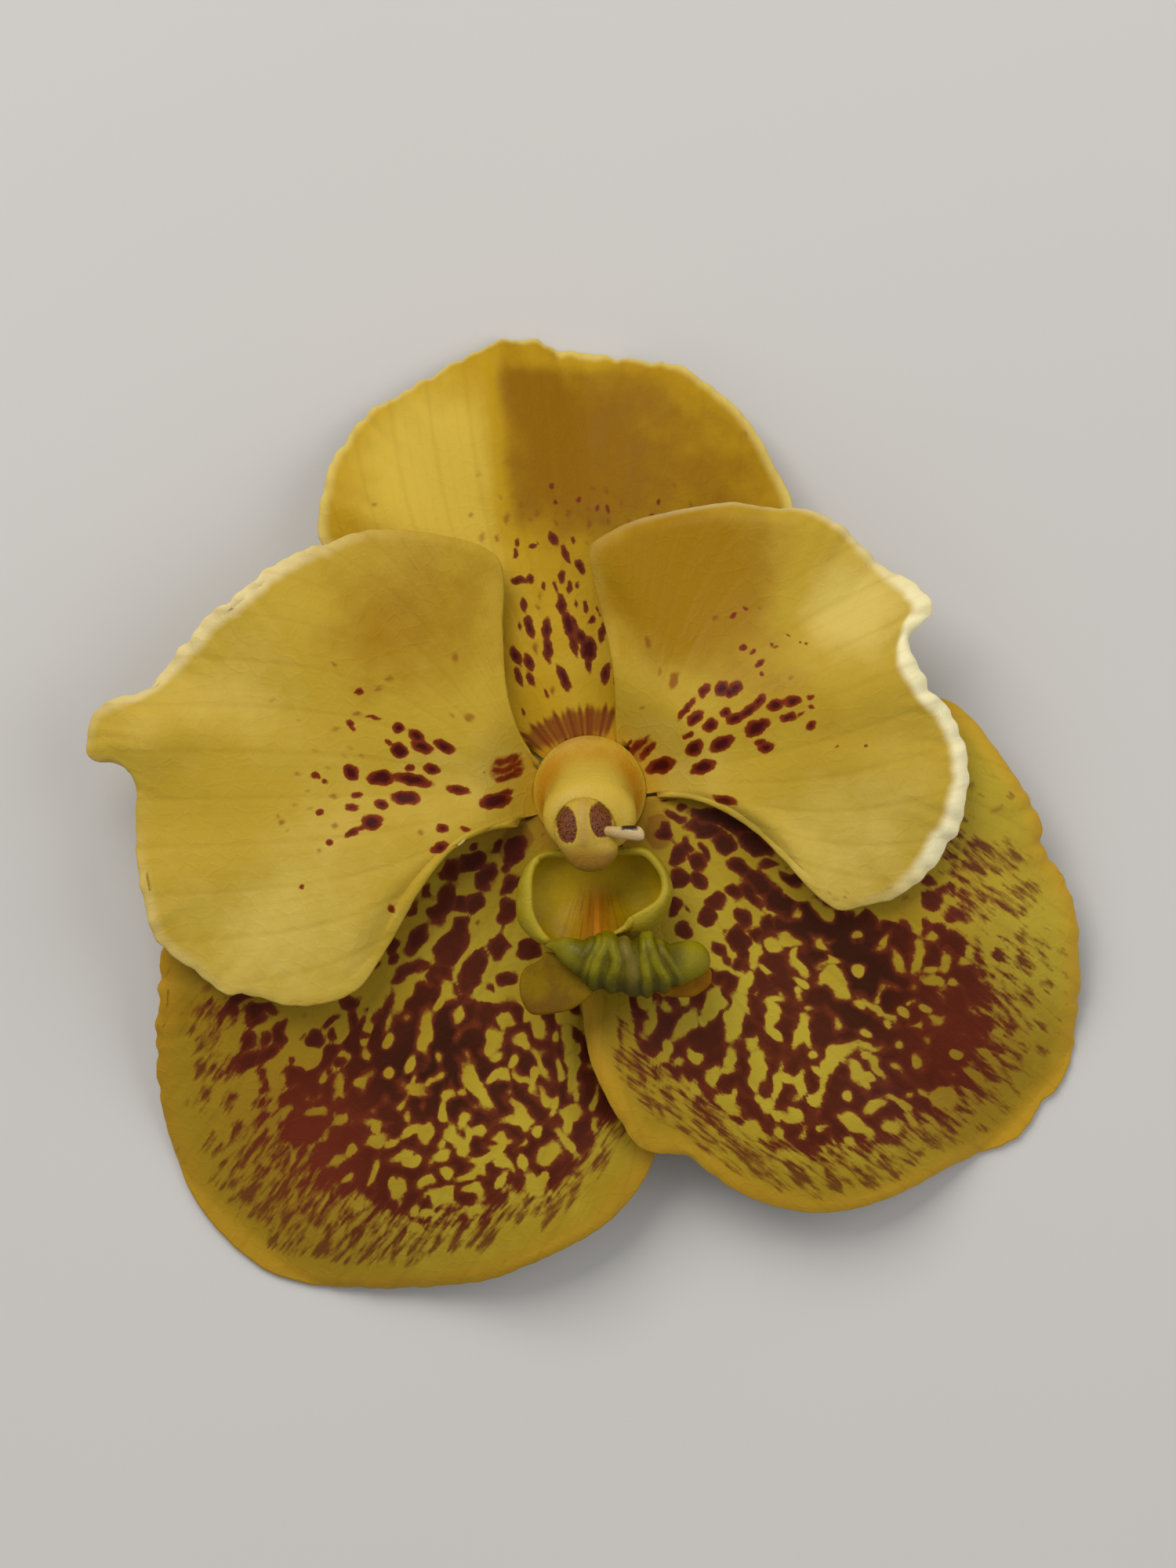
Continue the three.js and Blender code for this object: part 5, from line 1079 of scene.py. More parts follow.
RIGHT_FLECKS = [
    [11.4, 10.1, 1.7, 0.9, 55, 1], [9.6, 8.2, 2.8, 0.8, 52, 1], [10.5, 7.4, 2.1, 1.2, 45, 1],
    [13.1, 10.2, 1.8, 1.5, 60, 1], [14.5, 10.3, 1.8, 1.3, 60, 1], [13.8, 9.9, 1.4, 1.1, 0, 1],
    [12, 6.6, 1.8, 1.2, 35, 1], [9.8, 5.7, 1.1, 0.7, 30, 1], [10.4, 4.3, 2.1, 1.5, 38, 1],
    [13.1, 4.8, 2.8, 1.5, 25, 1], [11.3, 2.5, 2.8, 1.4, 20, 1], [13.5, -0.8, 2.5, 1, -15, 1],
    [7.1, 2.6, 3.2, 1.6, 18, 0.8], [4.7, 4.5, 2.2, 0.7, 50, 0.8], [5.8, 4.1, 2.5, 0.8, 48, 0.8],
    [4, 4.8, 1, 0.5, 40, 0.8], [5.3, 4.9, 2, 0.5, 50, 0.8], [5.2, 4.3, 2.8, 2, 50, 0.5],
    [13.5, 7.9, 1.3, 1.1, 20, 1], [14.4, 7.3, 2, 1.2, 20, 1],
    [15.7, 8, 2.7, 1.1, 38, 1], [16.8, 8.9, 1.9, 0.9, 55, 1], [18.4, 8.6, 1.8, 1.3, 5, 1],
    [20.1, 9, 1.8, 1.2, 15, 1], [19.2, 8.9, 0.9, 0.5, 0, 1], [16.6, 6.4, 2.8, 1.6, 28, 1],
    [19.7, 7.4, 1.8, 1, 15, 1], [20.9, 7.8, 0.8, 0.4, 30, 0.9], [21.9, 9.4, 0.7, 0.6, 0, 0.9],
    [21.9, 8.4, 0.7, 0.5, -20, 0.8], [21.9, 6.5, 1.2, 0.9, 45, 0.9], [16.9, 4.9, 1.3, 0.8, 0, 1],
    [17.5, 4.4, 1.8, 1.1, 20, 1], [15.2, 14.3, 0.8, 0.8, 0, 0.9], [16.2, 14, 0.9, 0.5, 40, 0.9],
    [16.9, 12.8, 1, 0.7, 45, 0.9], [17.1, 11.7, 0.6, 0.5, 0, 0.8], [14.3, 17.5, 0.9, 0.6, 40, 0.9],
    [12.5, 17.4, 0.6, 0.4, 30, 0.7], [15.6, 18.3, 0.7, 0.4, 20, 0.9], [17, 18.3, 0.4, 0.3, 0, 0.6],
    [18.1, 14.7, 0.4, 0.4, 0, 0.8], [18.5, 14.4, 0.6, 0.3, 20, 0.8], [19.8, 15.5, 0.6, 0.3, -40, 0.8],
    [20.9, 14.9, 0.4, 0.3, 0, 0.8], [21.6, 14.7, 0.4, 0.3, 0, 0.8], [5.8, 14.9, 1, 0.6, 90, 0.6],
    [8.4, 11.1, 1.8, 0.9, 70, 0.7], [7, 12, 0.9, 0.4, 70, 0.5], [5.2, 8.4, 0.4, 0.3, 0, 0.6],
    [24.5, 4.5, 0.4, 0.3, 0, 0.8], [27.4, 4.5, 0.4, 0.4, 0, 0.8], [19.9, 11.3, 0.4, 0.4, 0, 0.6],
    [23.9, -10.1, 0.3, 0.2, 0, 0.7], [24.4, -10.6, 0.3, 0.2, 0, 0.7], [25.5, -10, 0.3, 0.2, 0, 0.7],
    [25.5, -10.5, 0.3, 0.2, 0, 0.7], [29.8, -9.6, 0.3, 0.2, 0, 0.7],
]
# Lumps of painted shade (below 0) and painted light (above 0), partly also the petals' own tone: x, y, height
# and spread
LEFT_SHADES = [
    [-22, 15.6, -0.6, 5.5], [-14, 19, -0.4, 7], [-34.6, -1.6, -0.4, 4.5], [-33, 11, 0.5, 6],
    [-31, -15, 0.7, 8], [-45, 5, 0.3, 4], [-26, -2, 0.2, 5], [-12, 2, 0.4, 4],
]
RIGHT_SHADES = [
    [7, 22, -1, 6.5], [15, 19.5, -0.7, 6], [22.7, 9, -0.5, 5.5], [24, 17.5, 1, 4.2], [28, 19, 0.5, 4],
    [25, -6, 0.6, 7], [30, 4, 0.2, 6], [8, 2.5, 0.4, 4],
]
# Where the margin is creamiest: partly its own paler colour and paler back on the rolled edge, partly painted
# highlight where that edge catches the lamp
LEFT_CREAM_AND_HIGHLIGHT = [[-30, 24, 0.3, 5], [-36, 20, 0.35, 5], [-42, 14, 0.35, 5], [-48, 9, 0.2, 4], [-43, -14, 0.2, 6]]
RIGHT_CREAM_AND_HIGHLIGHT = [
    [37, 3, 0.9, 5], [36, -5, 0.9, 5], [32, 12, 0.8, 5], [33, 20, 0.6, 4], [25, 27, 0.4, 4],
    [12, 28.5, 0.35, 6],
]


def petal_marks(flecks, shades, rims):
    def marks(plan, u, way, margin):
        dark, faint = fleck_fields(plan, flecks)
        cream_and_highlight = np.clip(lumps(plan, rims), 0, 1)
        return {"fleck": dark, "blush": faint, "tone": lumps(plan, shades), "cream_and_highlight": cream_and_highlight}
    return marks


def petal_colour(tree, surface):
    made = ground(
        tree, surface, paint(214, 186, 90), paint(190, 157, 46), paint(160, 117, 8), paint(186, 136, 20))
    # Painted highlight: the creamy margin runs near white where the rolled edge turns to the lamp
    cream_and_highlight = field(tree, "cream_and_highlight")
    inward = maths(tree, "SUBTRACT", field(tree, "margin"), times(tree, cream_and_highlight, 1.7))
    rim = times(tree, slope(tree, inward, 1.5, 0.2), cream_and_highlight)
    rimmed = tinted(tree, rim, made, paint(252, 238, 186))
    sided = backed(tree, rimmed, paint(222, 200, 120))
    lined, height = veined(tree, sided, PETAL_LEFT["veins"], paint(166, 130, 26), 0.16)
    return flecked(tree, lined, paint(68, 12, 8), paint(130, 50, 12)), height


petal_left = blade_sheet("petal_left", PETAL_LEFT, petal_marks(LEFT_FLECKS, LEFT_SHADES, LEFT_CREAM_AND_HIGHLIGHT))
petal_right = blade_sheet("petal_right", PETAL_RIGHT, petal_marks(RIGHT_FLECKS, RIGHT_SHADES, RIGHT_CREAM_AND_HIGHLIGHT))
petal_flesh = flesh("Petal flesh", 0.46, petal_colour, shine=0.1)
fit(petal_left, petal_flesh, "petal", "petal_left")
fit(petal_right, petal_flesh, "petal", "petal_right")

# Column
# The bloom's middle: a stout stub of solid waxy flesh that leans towards the lip. Its foot spreads into a
# collar over the claws, with a painted orange glow in the crease, and a sticky hollow lies under its tip. Its
# front and top are painted paler where the light falls.
COLUMN_RINGS = [
    [-0.15, 0, 5.1, 5.1], [0.55, 0, 5.15, 5.15], [0.75, 0, 5.6, 5.6], [0.84, 0, 5.62, 5.62],
    [1.05, -0.05, 5.35, 5.3], [1.6, -0.3, 4.95, 4.8], [2.4, -0.65, 4.7, 4.45], [4, -1.3, 4.5, 4.15],
    [6, -2, 4.6, 4.1], [7.6, -2.45, 4.6, 3.8], [8.4, -2.6, 4.2, 3.3], [8.8, -2.7, 3.5, 2.5],
    [9.05, -2.7, 2.4, 1.6], [9.15, -2.8, 1.2, 0.8],
]
CAP_HEART = [-0.5, -4.4, 9.3]
HELMET = [[3, 3.1, 2.2], [-0.5, -3.7, 9.3], 0]
BEAK = [[2.7, 2.45, 1.6], [0.1, -5.5, 9.4], -20]


def ended(values):
    """Values [ring, point] for a skin that capped closes"""
    return np.concatenate([values[:1], values, values[-1:]]).T


def turned_x(points, degrees):
    """Points turned about the X axis"""
    c, s = np.cos(np.radians(degrees)), np.sin(np.radians(degrees))
    return points @ np.array([[1, 0, 0], [0, c, s], [0, -s, c]])


def far_side(egg, start, ways, growth=0.0):
    """How far each way from the start runs until it leaves an egg of radii, middle and turn, or nan"""
    radii, middle, turn = egg
    a = turned_x(ways, -turn) / np.add(radii, growth)
    b = turned_x(np.subtract(start, middle), -turn) / np.add(radii, growth)
    along, size = (a * b).sum(-1), (a * a).sum(-1)
    inside = along**2 - size * ((b * b).sum(-1) - 1)
    return (np.sqrt(np.where(inside > 0, inside, np.nan)) - along) / size


around = np.linspace(0, 2 * np.pi, 129)
column_z, column_lean, column_wide, column_deep = catmull(COLUMN_RINGS, np.linspace(0, 1, 90)).T[:, :, None]
stigma = np.exp(-0.5 * (((np.degrees(around) - 270) / 20) ** 2 + ((column_z - 5.6) / 1.3) ** 2))
column_x = column_wide * np.cos(around)
column_y = column_lean + column_deep * np.sin(around) + 1.1 * stigma
column_skin = np.stack([column_x, column_y, column_z + 0 * around], axis=-1)
over_cap = column_skin * [1, 1, 0] + [0, 0, CAP_HEART[2]]
falls = [far_side(egg, over_cap, np.array([0, 0, -1]), 0.03) for egg in (HELMET, BEAK)]
socket = CAP_HEART[2] - np.nanmax([*falls, np.zeros_like(stigma) - 9], axis=0)
column_skin[..., 2] = np.minimum(column_skin[..., 2], socket)
column_comb = smooth((np.hypot(column_x, column_y) - 5) / 0.5) * (np.abs(np.degrees(around) - 103) < 26)
column = sheet(
    "column", capped(column_skin), height=ended(column_z), stigma=ended(stigma),
    ahead=ended(np.sin(around) + 0 * column_z), comb=ended(column_comb))


def column_colour(tree, surface):
    height, ahead = field(tree, "height"), field(tree, "ahead")
    base = mottled(tree, surface, paint(184, 148, 40), paint(196, 162, 56))
    # Painted light: the front above the foot and the top are paler where the lamp falls, the crease has a
    # painted orange glow, and the collar's rim takes the claws' painted gold
    lit = times(tree, slope(tree, ahead, 0.5, 0.97), slope(tree, height, 1.6, 4.4))
    pale = tinted(tree, times(tree, lit, 0.8), base, paint(206, 176, 66))
    crease = times(tree, slope(tree, height, 0.85, 1.3), slope(tree, height, 5.6, 2.6))
    crease = times(tree, crease, slope(tree, ahead, 0.97, 0.5, 0.4, 0.8))
    glow = tinted(tree, crease, pale, paint(186, 124, 12))
    foot = tinted(tree, slope(tree, height, 1.3, 0.8), glow, paint(186, 142, 24))
    tip = tinted(tree, slope(tree, height, 6.5, 8.5, 0.0, 0.6), foot, paint(200, 168, 56))
    combed = tinted(tree, times(tree, field(tree, "comb"), 0.3), tip, paint(150, 84, 20))
    return tinted(tree, times(tree, field(tree, "stigma"), 0.8), combed, paint(140, 118, 24)), None


fit(column, flesh("Column flesh", 0.42, column_colour, scale=1.8, soft=0.2), "column", "column")

# Anther cap
# A small loose helmet that sits over the column's tip: creamy wax drawn out into a blunt beak, with
# two brown ovals where the pollen masses show through, grainy to the eye, and a raised seam between them.
CAP_BLEND = 6
POLLEN = [[-2.33, -3.2, 1.02, 1.86, 8], [1.15, -2.68, 1.1, 1.8, 8]]


def ball(across, down):
    """Directions [row, column, xyz] of a globe, from its south pole to its north pole"""
    turn = np.linspace(0, 2 * np.pi, across)
    rise = np.linspace(-np.pi / 2 + 0.01, np.pi / 2 - 0.01, down)[:, None]
    ways = [np.cos(rise) * np.cos(turn), np.cos(rise) * np.sin(turn), np.sin(rise) + 0 * turn]
    return np.stack(ways, axis=-1)


cap_ways = ball(161, 100)
cap_reach = [CAP_BLEND * far_side(egg, CAP_HEART, cap_ways) for egg in (HELMET, BEAK)]
cap_reach = np.logaddexp(*cap_reach) / CAP_BLEND
cap_skin = CAP_HEART + cap_ways * cap_reach[..., None]
cap_up = smooth((cap_skin[..., 2] - 8.6) / 0.8)
cap_pollen = np.full(cap_reach.shape, -1.0)
for x, y, half_wide, half_long, lean in POLLEN:
    lean = np.radians(lean)
    dx, dy = cap_skin[..., 0] - x, cap_skin[..., 1] - y
    p, q = dx * np.cos(lean) + dy * np.sin(lean), dy * np.cos(lean) - dx * np.sin(lean)
    inside = (1 - (np.abs(p / half_wide) ** 2.4 + np.abs(q / half_long) ** 2.4) ** (1 / 2.4)) * half_wide
    cap_pollen = np.maximum(cap_pollen, np.where(cap_up > 0, inside, -1))
cap_seam = np.exp(-(((cap_skin[..., 0] + 0.62) / 0.42) ** 2)) * smooth((cap_skin[..., 1] + 5.6) / 0.8)
cap_ragged = ripple(np.degrees(np.arctan2(cap_skin[..., 1] + 5, cap_skin[..., 0])), (17, 29, 41), 3)
cap_change = cap_up * (0.14 * cap_seam - 0.14 * smooth(cap_pollen / 0.25 + 0.5))
cap_change = cap_change + 0.03 * cap_ragged * smooth((-6 - cap_skin[..., 1]) / 1)
cap_skin = cap_skin + cap_ways * cap_change[..., None]
anther_cap = sheet(
    "anther_cap", capped(cap_skin), pollen=ended(cap_pollen), seam=ended(cap_seam * cap_up),
    beak=ended(smooth((-4.9 - cap_skin[..., 1]) / 1.6)))


def cap_colour(tree, surface):
    wax = mottled(tree, surface, paint(186, 152, 46), paint(198, 166, 60))
    seamed = tinted(tree, times(tree, field(tree, "seam"), 0.6), wax, paint(178, 138, 70))
    beaked = tinted(tree, field(tree, "beak"), seamed, paint(146, 106, 22))
    place = millimetres(tree)
    grains = node(tree, "TexVoronoi", {"Vector": place, "Scale": 4.5}, feature="F1")
    uneven = node(tree, "TexNoise", {"Vector": place, "Scale": 3.0, "Detail": 4.0})
    brown = tinted(tree, slope(tree, grains, 0.2, 0.6), paint(70, 24, 10), paint(122, 66, 28))
    ragged = times(tree, maths(tree, "SUBTRACT", uneven, 0.5), 0.35)
    depth = maths(tree, "ADD", field(tree, "pollen"), ragged)
    oval = slope(tree, depth, -0.07, 0.1)
    height = times(tree, times(tree, grains, oval), -2.0)
    return tinted(tree, oval, beaked, brown), height


fit(anther_cap, flesh("Anther wax", 0.4, cap_colour, scale=2.4, soft=0.3), "anther_cap", "anther_cap")

# Pollinarium
# The peg of whitish wax that carries the pollen. It has slipped out at the cap's right side, with a
# dark dry fleck along its upper edge.
PEG_STATIONS = [
    [0.95, -3.75, 10.35, 0.1], [1.15, -3.78, 10.38, 0.42], [1.9, -3.85, 10.5, 0.52], [2.8, -3.95, 10.65, 0.6],
    [3.7, -3.98, 10.8, 0.7], [4.5, -4.02, 10.9, 0.74], [5.0, -4.1, 10.97, 0.64], [5.3, -4.2, 11, 0.38],
    [5.38, -4.22, 11, 0.1],
]
peg_x, peg_y, peg_z, peg_radius = catmull(PEG_STATIONS, np.linspace(0, 1, 70)).T[:, :, None]
peg_round = np.linspace(0, 2 * np.pi, 65)
peg_skin = np.stack([
    peg_x + 0 * peg_round,
    peg_y + peg_radius * np.cos(peg_round),
    peg_z + 0.85 * peg_radius * np.sin(peg_round),
], axis=-1)
peg_upper = np.cos(peg_round) + 0 * peg_x
pollinarium = sheet("pollinarium", capped(peg_skin), along=ended(peg_x), upper=ended(peg_upper))


def peg_colour(tree, surface):
    along, upper = field(tree, "along"), field(tree, "upper")
    wax = tinted(tree, slope(tree, along, 1.2, 4.8), paint(184, 150, 84), paint(204, 178, 128))
    fleck = times(tree, slope(tree, along, 2.9, 3.3), slope(tree, along, 4.9, 4.5))
    wander = times(tree, maths(tree, "SUBTRACT", surface.outputs["Grain"], 0.5), 0.9)
    edge = slope(tree, maths(tree, "ADD", upper, wander), 0.3, 0.5)
    return tinted(tree, times(tree, fleck, edge), wax, paint(42, 24, 18)), None


peg_wax = flesh("Pollinarium wax", 0.35, peg_colour, scale=2.4, soft=0.3)
fit(pollinarium, peg_wax, "pollinarium", "pollinarium")

# Lip's cup
# The lip is moss-green flesh in one piece. Its two side lobes stand round a deep hollow with a smooth
# rolled rim, the right one curling over, and the floor rises at the front, orange with red streaks.
CUP_HEART = [0.5, -10.3]
CUP_BOTTOM = 2.2
CUP_EDGES = [
    [8.24, -9.3, 7.6, -8.9, 7.6], [7.4, -7.2, 6.95, -7.2, 7.6], [5.7, -5.6, 5.5, -5.75, 7.3],
    [3.2, -5.45, 3.3, -5.75, 6.2], [0.5, -5.6, 0.5, -6.1, 4.6], [-2.6, -5.65, -2.6, -6, 5.2],
    [-4.6, -5.9, -4.6, -6.2, 6.6], [-5.9, -6.8, -5.55, -6.7, 7.2], [-6.95, -8.7, -6, -8.2, 7.5],
    [-7.3, -10.7, -6.02, -9.9, 7.6], [-7.1, -12.8, -5.88, -11.8, 7.5], [-6.1, -14.2, -5.25, -13.5, 7.2],
    [-4.6, -15.2, -4.25, -14.8, 7], [-2.5, -15.6, -2.6, -15.2, 5.5], [0.5, -15.3, 0.5, -14.9, 4.8],
    [3.4, -15, 2.9, -13.9, 6.2], [5, -14.4, 3.9, -12.9, 7.5], [6.5, -13.4, 5.4, -12, 8],
    [7.65, -12.1, 6.75, -11.1, 8.1], [8.15, -10.7, 7.5, -10.05, 7.9],
]
CUP_WAIST = 0.55
CUP_ROLL = np.radians(78)


def closed(points, share):
    """Places on a smooth closed line through points"""
    wide = [*points[-2:], *points, *points[:3]]
    return catmull(wide, (2 + share * len(points)) / (len(wide) - 1))


cup_around = np.linspace(0, 1, 181)
cup_x, cup_y, cup_rim_x, cup_rim_y, cup_rim_z = closed(CUP_EDGES, cup_around).T[:, :, None]
cup_full = CUP_BOTTOM + 0.6 * (cup_rim_z - CUP_BOTTOM)
cup_rise = np.linspace(0.02, 1, 46)
cup_bowl = np.minimum(cup_rise / CUP_WAIST, 1) * np.pi / 2
cup_curl = np.maximum(cup_rise - CUP_WAIST, 0) / (1 - CUP_WAIST) * CUP_ROLL
cup_in = (1 - np.cos(cup_curl)) / (1 - np.cos(CUP_ROLL))
cup_up = np.sin(cup_curl) / np.sin(CUP_ROLL)
cup_outer = np.stack([
    CUP_HEART[0] + (cup_x - CUP_HEART[0]) * np.sin(cup_bowl) + (cup_rim_x - cup_x) * cup_in,
    CUP_HEART[1] + (cup_y - CUP_HEART[1]) * np.sin(cup_bowl) + (cup_rim_y - cup_y) * cup_in,
    CUP_BOTTOM + (cup_full - CUP_BOTTOM) * (1 - np.cos(cup_bowl)) + (cup_rim_z - cup_full) * cup_up,
], axis=-1)
cup_skin_in = unit(np.cross(np.gradient(cup_outer, axis=1), np.gradient(cup_outer, axis=0)))
cup_thick = 0.95 - 0.25 * smooth((cup_rise - 0.6) / 0.4)
cup_inner = cup_outer + cup_skin_in * cup_thick[None, :, None]
neck = np.exp(-(((cup_inner[..., 0] - 1.1) / 3.2) ** 2)) * smooth((-9.5 - cup_inner[..., 1]) / 5.5)
cup_inner[..., 2] += 3.6 * neck
cup_middle = (cup_outer[:, -1] + cup_inner[:, -1]) / 2
cup_half = (cup_outer[:, -1] - cup_inner[:, -1]) / 2
cup_tip = unit(cup_outer[:, -1] - cup_outer[:, -2]) * cup_thick[-1] / 2
cup_lip = [cup_middle + cup_half * np.sin(turn) + cup_tip * np.cos(turn) for turn in RIM_TURNS]
cup_points = np.concatenate([cup_outer, np.stack(cup_lip, 1), cup_inner[:, ::-1]], axis=1)
cup_ends = [end.mean(0, keepdims=True) for end in (cup_points[:, :1], cup_points[:, -1:])]
cup_ends = [end.repeat(len(cup_points), 0) for end in cup_ends]
cup_points = np.concatenate([cup_ends[0], cup_points, cup_ends[1]], axis=1)
cup_rows = len(cup_rise) + 1
cup_inside = np.concatenate([[0] * cup_rows, (1 - np.sin(RIM_TURNS)) / 2, [1] * cup_rows])[None]
cup_share = np.concatenate([[0], cup_rise, [1] * len(RIM_TURNS), cup_rise[::-1], [0]])[None]
cup_warm = np.exp(-(((cup_points[..., 0] - 0.7) / 2.0) ** 2)) * smooth((-7.5 - cup_points[..., 1]) / 4)
cup_fan = np.degrees(np.arctan2(cup_points[..., 0] - 0.72, -3.2 - cup_points[..., 1]))
lip_cup = sheet(
    "lip_cup", cup_points, inside=cup_inside, rise=cup_share, warm=cup_warm, fan=cup_fan,
    down=-cup_points[..., 1])


def cup_colour(tree, surface):
    rise, warm, down = (field(tree, name) for name in ("rise", "warm", "down"))
    outside = mottled(tree, surface, paint(154, 132, 20), paint(170, 150, 36))
    low = tinted(tree, slope(tree, rise, 0.8, 0.1, 0.0, 0.6), outside, paint(172, 130, 20))
    hollow = mottled(tree, surface, paint(172, 142, 0), paint(186, 156, 2))
    hollow = tinted(tree, slope(tree, down, 11.0, 14.0, 0.0, 0.6), hollow, paint(142, 108, 0))
    # Painted shade: the hollow darkens towards the column, which shades it
    shaded_near_column = tinted(tree, slope(tree, down, 9.0, 5.5, 0.0, 0.35), hollow, paint(150, 116, 0))
    deep = slope(tree, rise, 0.98, 0.85)
    glow = times(tree, times(tree, warm, deep), 0.85)
    orange = tinted(tree, glow, shaded_near_column, paint(146, 84, 4))
    place = {"X": times(tree, field(tree, "fan"), 0.5)}
    place["Y"] = times(tree, down, 0.16)
    strands = node(tree, "TexNoise", {"Vector": node(tree, "CombineXYZ", place), "Scale": 1.0, "Detail": 2.0})
    red = times(tree, slope(tree, strands, 0.48, 0.62), slope(tree, down, 8.5, 12.0))
    aside = maths(tree, "ABSOLUTE", field(tree, "fan"))
    spread = slope(tree, aside, 26.0, 10.0)
    shown = times(tree, times(tree, red, spread), 0.45)
    streaked = tinted(tree, shown, orange, paint(124, 62, 12))
    line = times(tree, slope(tree, aside, 2.6, 0.6), slope(tree, down, 9.0, 11.5, 0.0, 0.6))
    lined = tinted(tree, line, streaked, paint(192, 122, 26))
    body = tinted(tree, slope(tree, field(tree, "inside"), 0.3, 0.9), low, lined)
    rim = times(tree, slope(tree, rise, 0.84, 1.0), slope(tree, warm, 0.7, 0.2))
    return tinted(tree, times(tree, rim, 0.7), body, paint(182, 160, 44)), None


fit(lip_cup, flesh("Lip's hollow flesh", 0.46, cup_colour, scale=1.6, soft=0.2, shine=0.14), "lip", "lip")

# Lip's middle lobe
# A fleshy bar across the lip's front, which its real lobe makes by folding back. It is moss-green and
# waxy, with rounded keels that fan out over it and dark grooves between them.
BAR_EDGES = [
    [-4.45, -15.15, -15.3], [-4.1, -14.85, -15.5], [-3.5, -14.6, -15.95], [-2.7, -14.35, -16.9],
    [-1.6, -14.33, -17.85], [-0.6, -14.3, -18.75], [0.3, -14.05, -19.4], [1.2, -13.84, -19.65],
    [2, -13.9, -19.7], [2.8, -14.15, -19.9], [3.6, -14.25, -20], [4.4, -14.5, -20.1], [5, -14.05, -20.2],
    [5.6, -13.8, -20.15], [6.2, -13.95, -20.05], [6.8, -14.4, -19.9], [7.4, -14.42, -19.7],
    [7.9, -14.67, -19.5], [8.5, -14.5, -19.3], [9.4, -14.55, -18.95], [10.4, -14.7, -18.45],
    [11.2, -15.1, -18], [11.75, -15.8, -17.5], [11.95, -16.5, -16.9],
]
BAR_FRONT = 8.6
# Where each keel runs at the bar's top, middle and foot, its half width and height
KEEL_ROWS = [-18.4, -16.6, -14.6]
KEELS = [
    [-1.7, -1.1, 0.1, 0.5, 0.45], [-0.6, -0.1, 0.9, 0.5, 0.65], [0.3, 0.65, 1.65, 0.55, 1],
    [2.1, 2.72, 2.2, 0.6, 1], [4.2, 4.02, 3.5, 0.75, 0.8], [5.7, 5.4, 5.3, 0.55, 1],
    [7.5, 6.5, 5.9, 0.6, 1], [9.1, 7.95, 6.9, 0.55, 0.6],
]
bar_x, bar_top, bar_low = catmull(BAR_EDGES, np.linspace(0, 1, 260)).T[:, :, None]
bar_turn = np.linspace(0, 2 * np.pi, 97)
bar_half = (bar_top - bar_low) / 2
bar_across, bar_over = np.cos(bar_turn), np.sin(bar_turn)
bar_skin = np.stack([
    bar_x + 0 * bar_turn,
    (bar_top + bar_low) / 2 + bar_half * np.sign(bar_across) * np.abs(bar_across) ** 0.88,
    BAR_FRONT - 0.03 * (bar_x - 4) ** 2
    + 2.45 * np.tanh(bar_half / 1.7) * np.sign(bar_over) * np.abs(bar_over) ** 0.88,
], axis=-1)
bar_out = unit(np.cross(np.gradient(bar_skin, axis=1), np.gradient(bar_skin, axis=0)))
bar_keel, bar_grey = np.zeros(bar_skin.shape[:2]), np.zeros(bar_skin.shape[:2])
for course in KEELS:
    from_keel = (bar_skin[..., 0] - np.interp(bar_skin[..., 1], KEEL_ROWS, course[:3])) / course[3]
    keel = course[4] * np.exp(-(from_keel**2))
    bar_keel = np.maximum(bar_keel, keel)
    if course[3] > 0.7:
        bar_grey = keel
bar_zone = smooth((bar_x + 2.4) / 2) * smooth((10 - bar_x) / 1.5)
bar_relief = 0.5 * (bar_keel - 0.6) * bar_zone * smooth((bar_over + 0.7) / 0.5)
bar_skin = bar_skin + bar_out * bar_relief[..., None]
bar_down = (1 - bar_across) / 2 + 0 * bar_x
lip_bar = sheet(
    "lip_bar", capped(bar_skin), along=ended(bar_x), down=ended(bar_down),
    keel=ended(bar_keel), zone=ended(bar_zone), grey=ended(bar_grey))


def bar_colour(tree, surface):
    along, down = field(tree, "along"), field(tree, "down")
    moss = mottled(tree, surface, paint(104, 94, 0), paint(132, 122, 6))
    left = tinted(tree, slope(tree, along, 0.5, -3.5, 0.0, 0.6), moss, paint(134, 122, 26))
    right = tinted(tree, slope(tree, along, 7.0, 10.5, 0.0, 0.8), left, paint(144, 130, 10))
    browned = tinted(tree, times(tree, field(tree, "grey"), 0.75), right, paint(108, 88, 36))
    keel = slope(tree, field(tree, "keel"), 0.75, 0.25)
    groove = times(tree, times(tree, keel, field(tree, "zone")), 0.55)
    grooved = tinted(tree, groove, browned, paint(58, 46, 2))
    # Painted shade: the middle of the bar darkens towards its underside, away from the light
    middle = times(tree, slope(tree, along, 10.5, 6.5, 0.3, 1.0), slope(tree, along, -3.0, 0.5, 0.3, 1.0))
    shade = times(tree, slope(tree, down, 0.55, 0.95, 0.0, 0.6), middle)
    foot = tinted(tree, shade, grooved, paint(38, 30, 0))
    tip = slope(tree, along, 11.0, 12.0, 0.0, 0.5)
    return tinted(tree, tip, foot, paint(150, 118, 34)), times(tree, surface.outputs["Grain"], 0.6)


bar_flesh = flesh("Lip's lobe flesh", 0.36, bar_colour, scale=2.0, soft=0.2, coat=0.03, shine=0.15)
fit(lip_bar, bar_flesh, "lip", "lip")

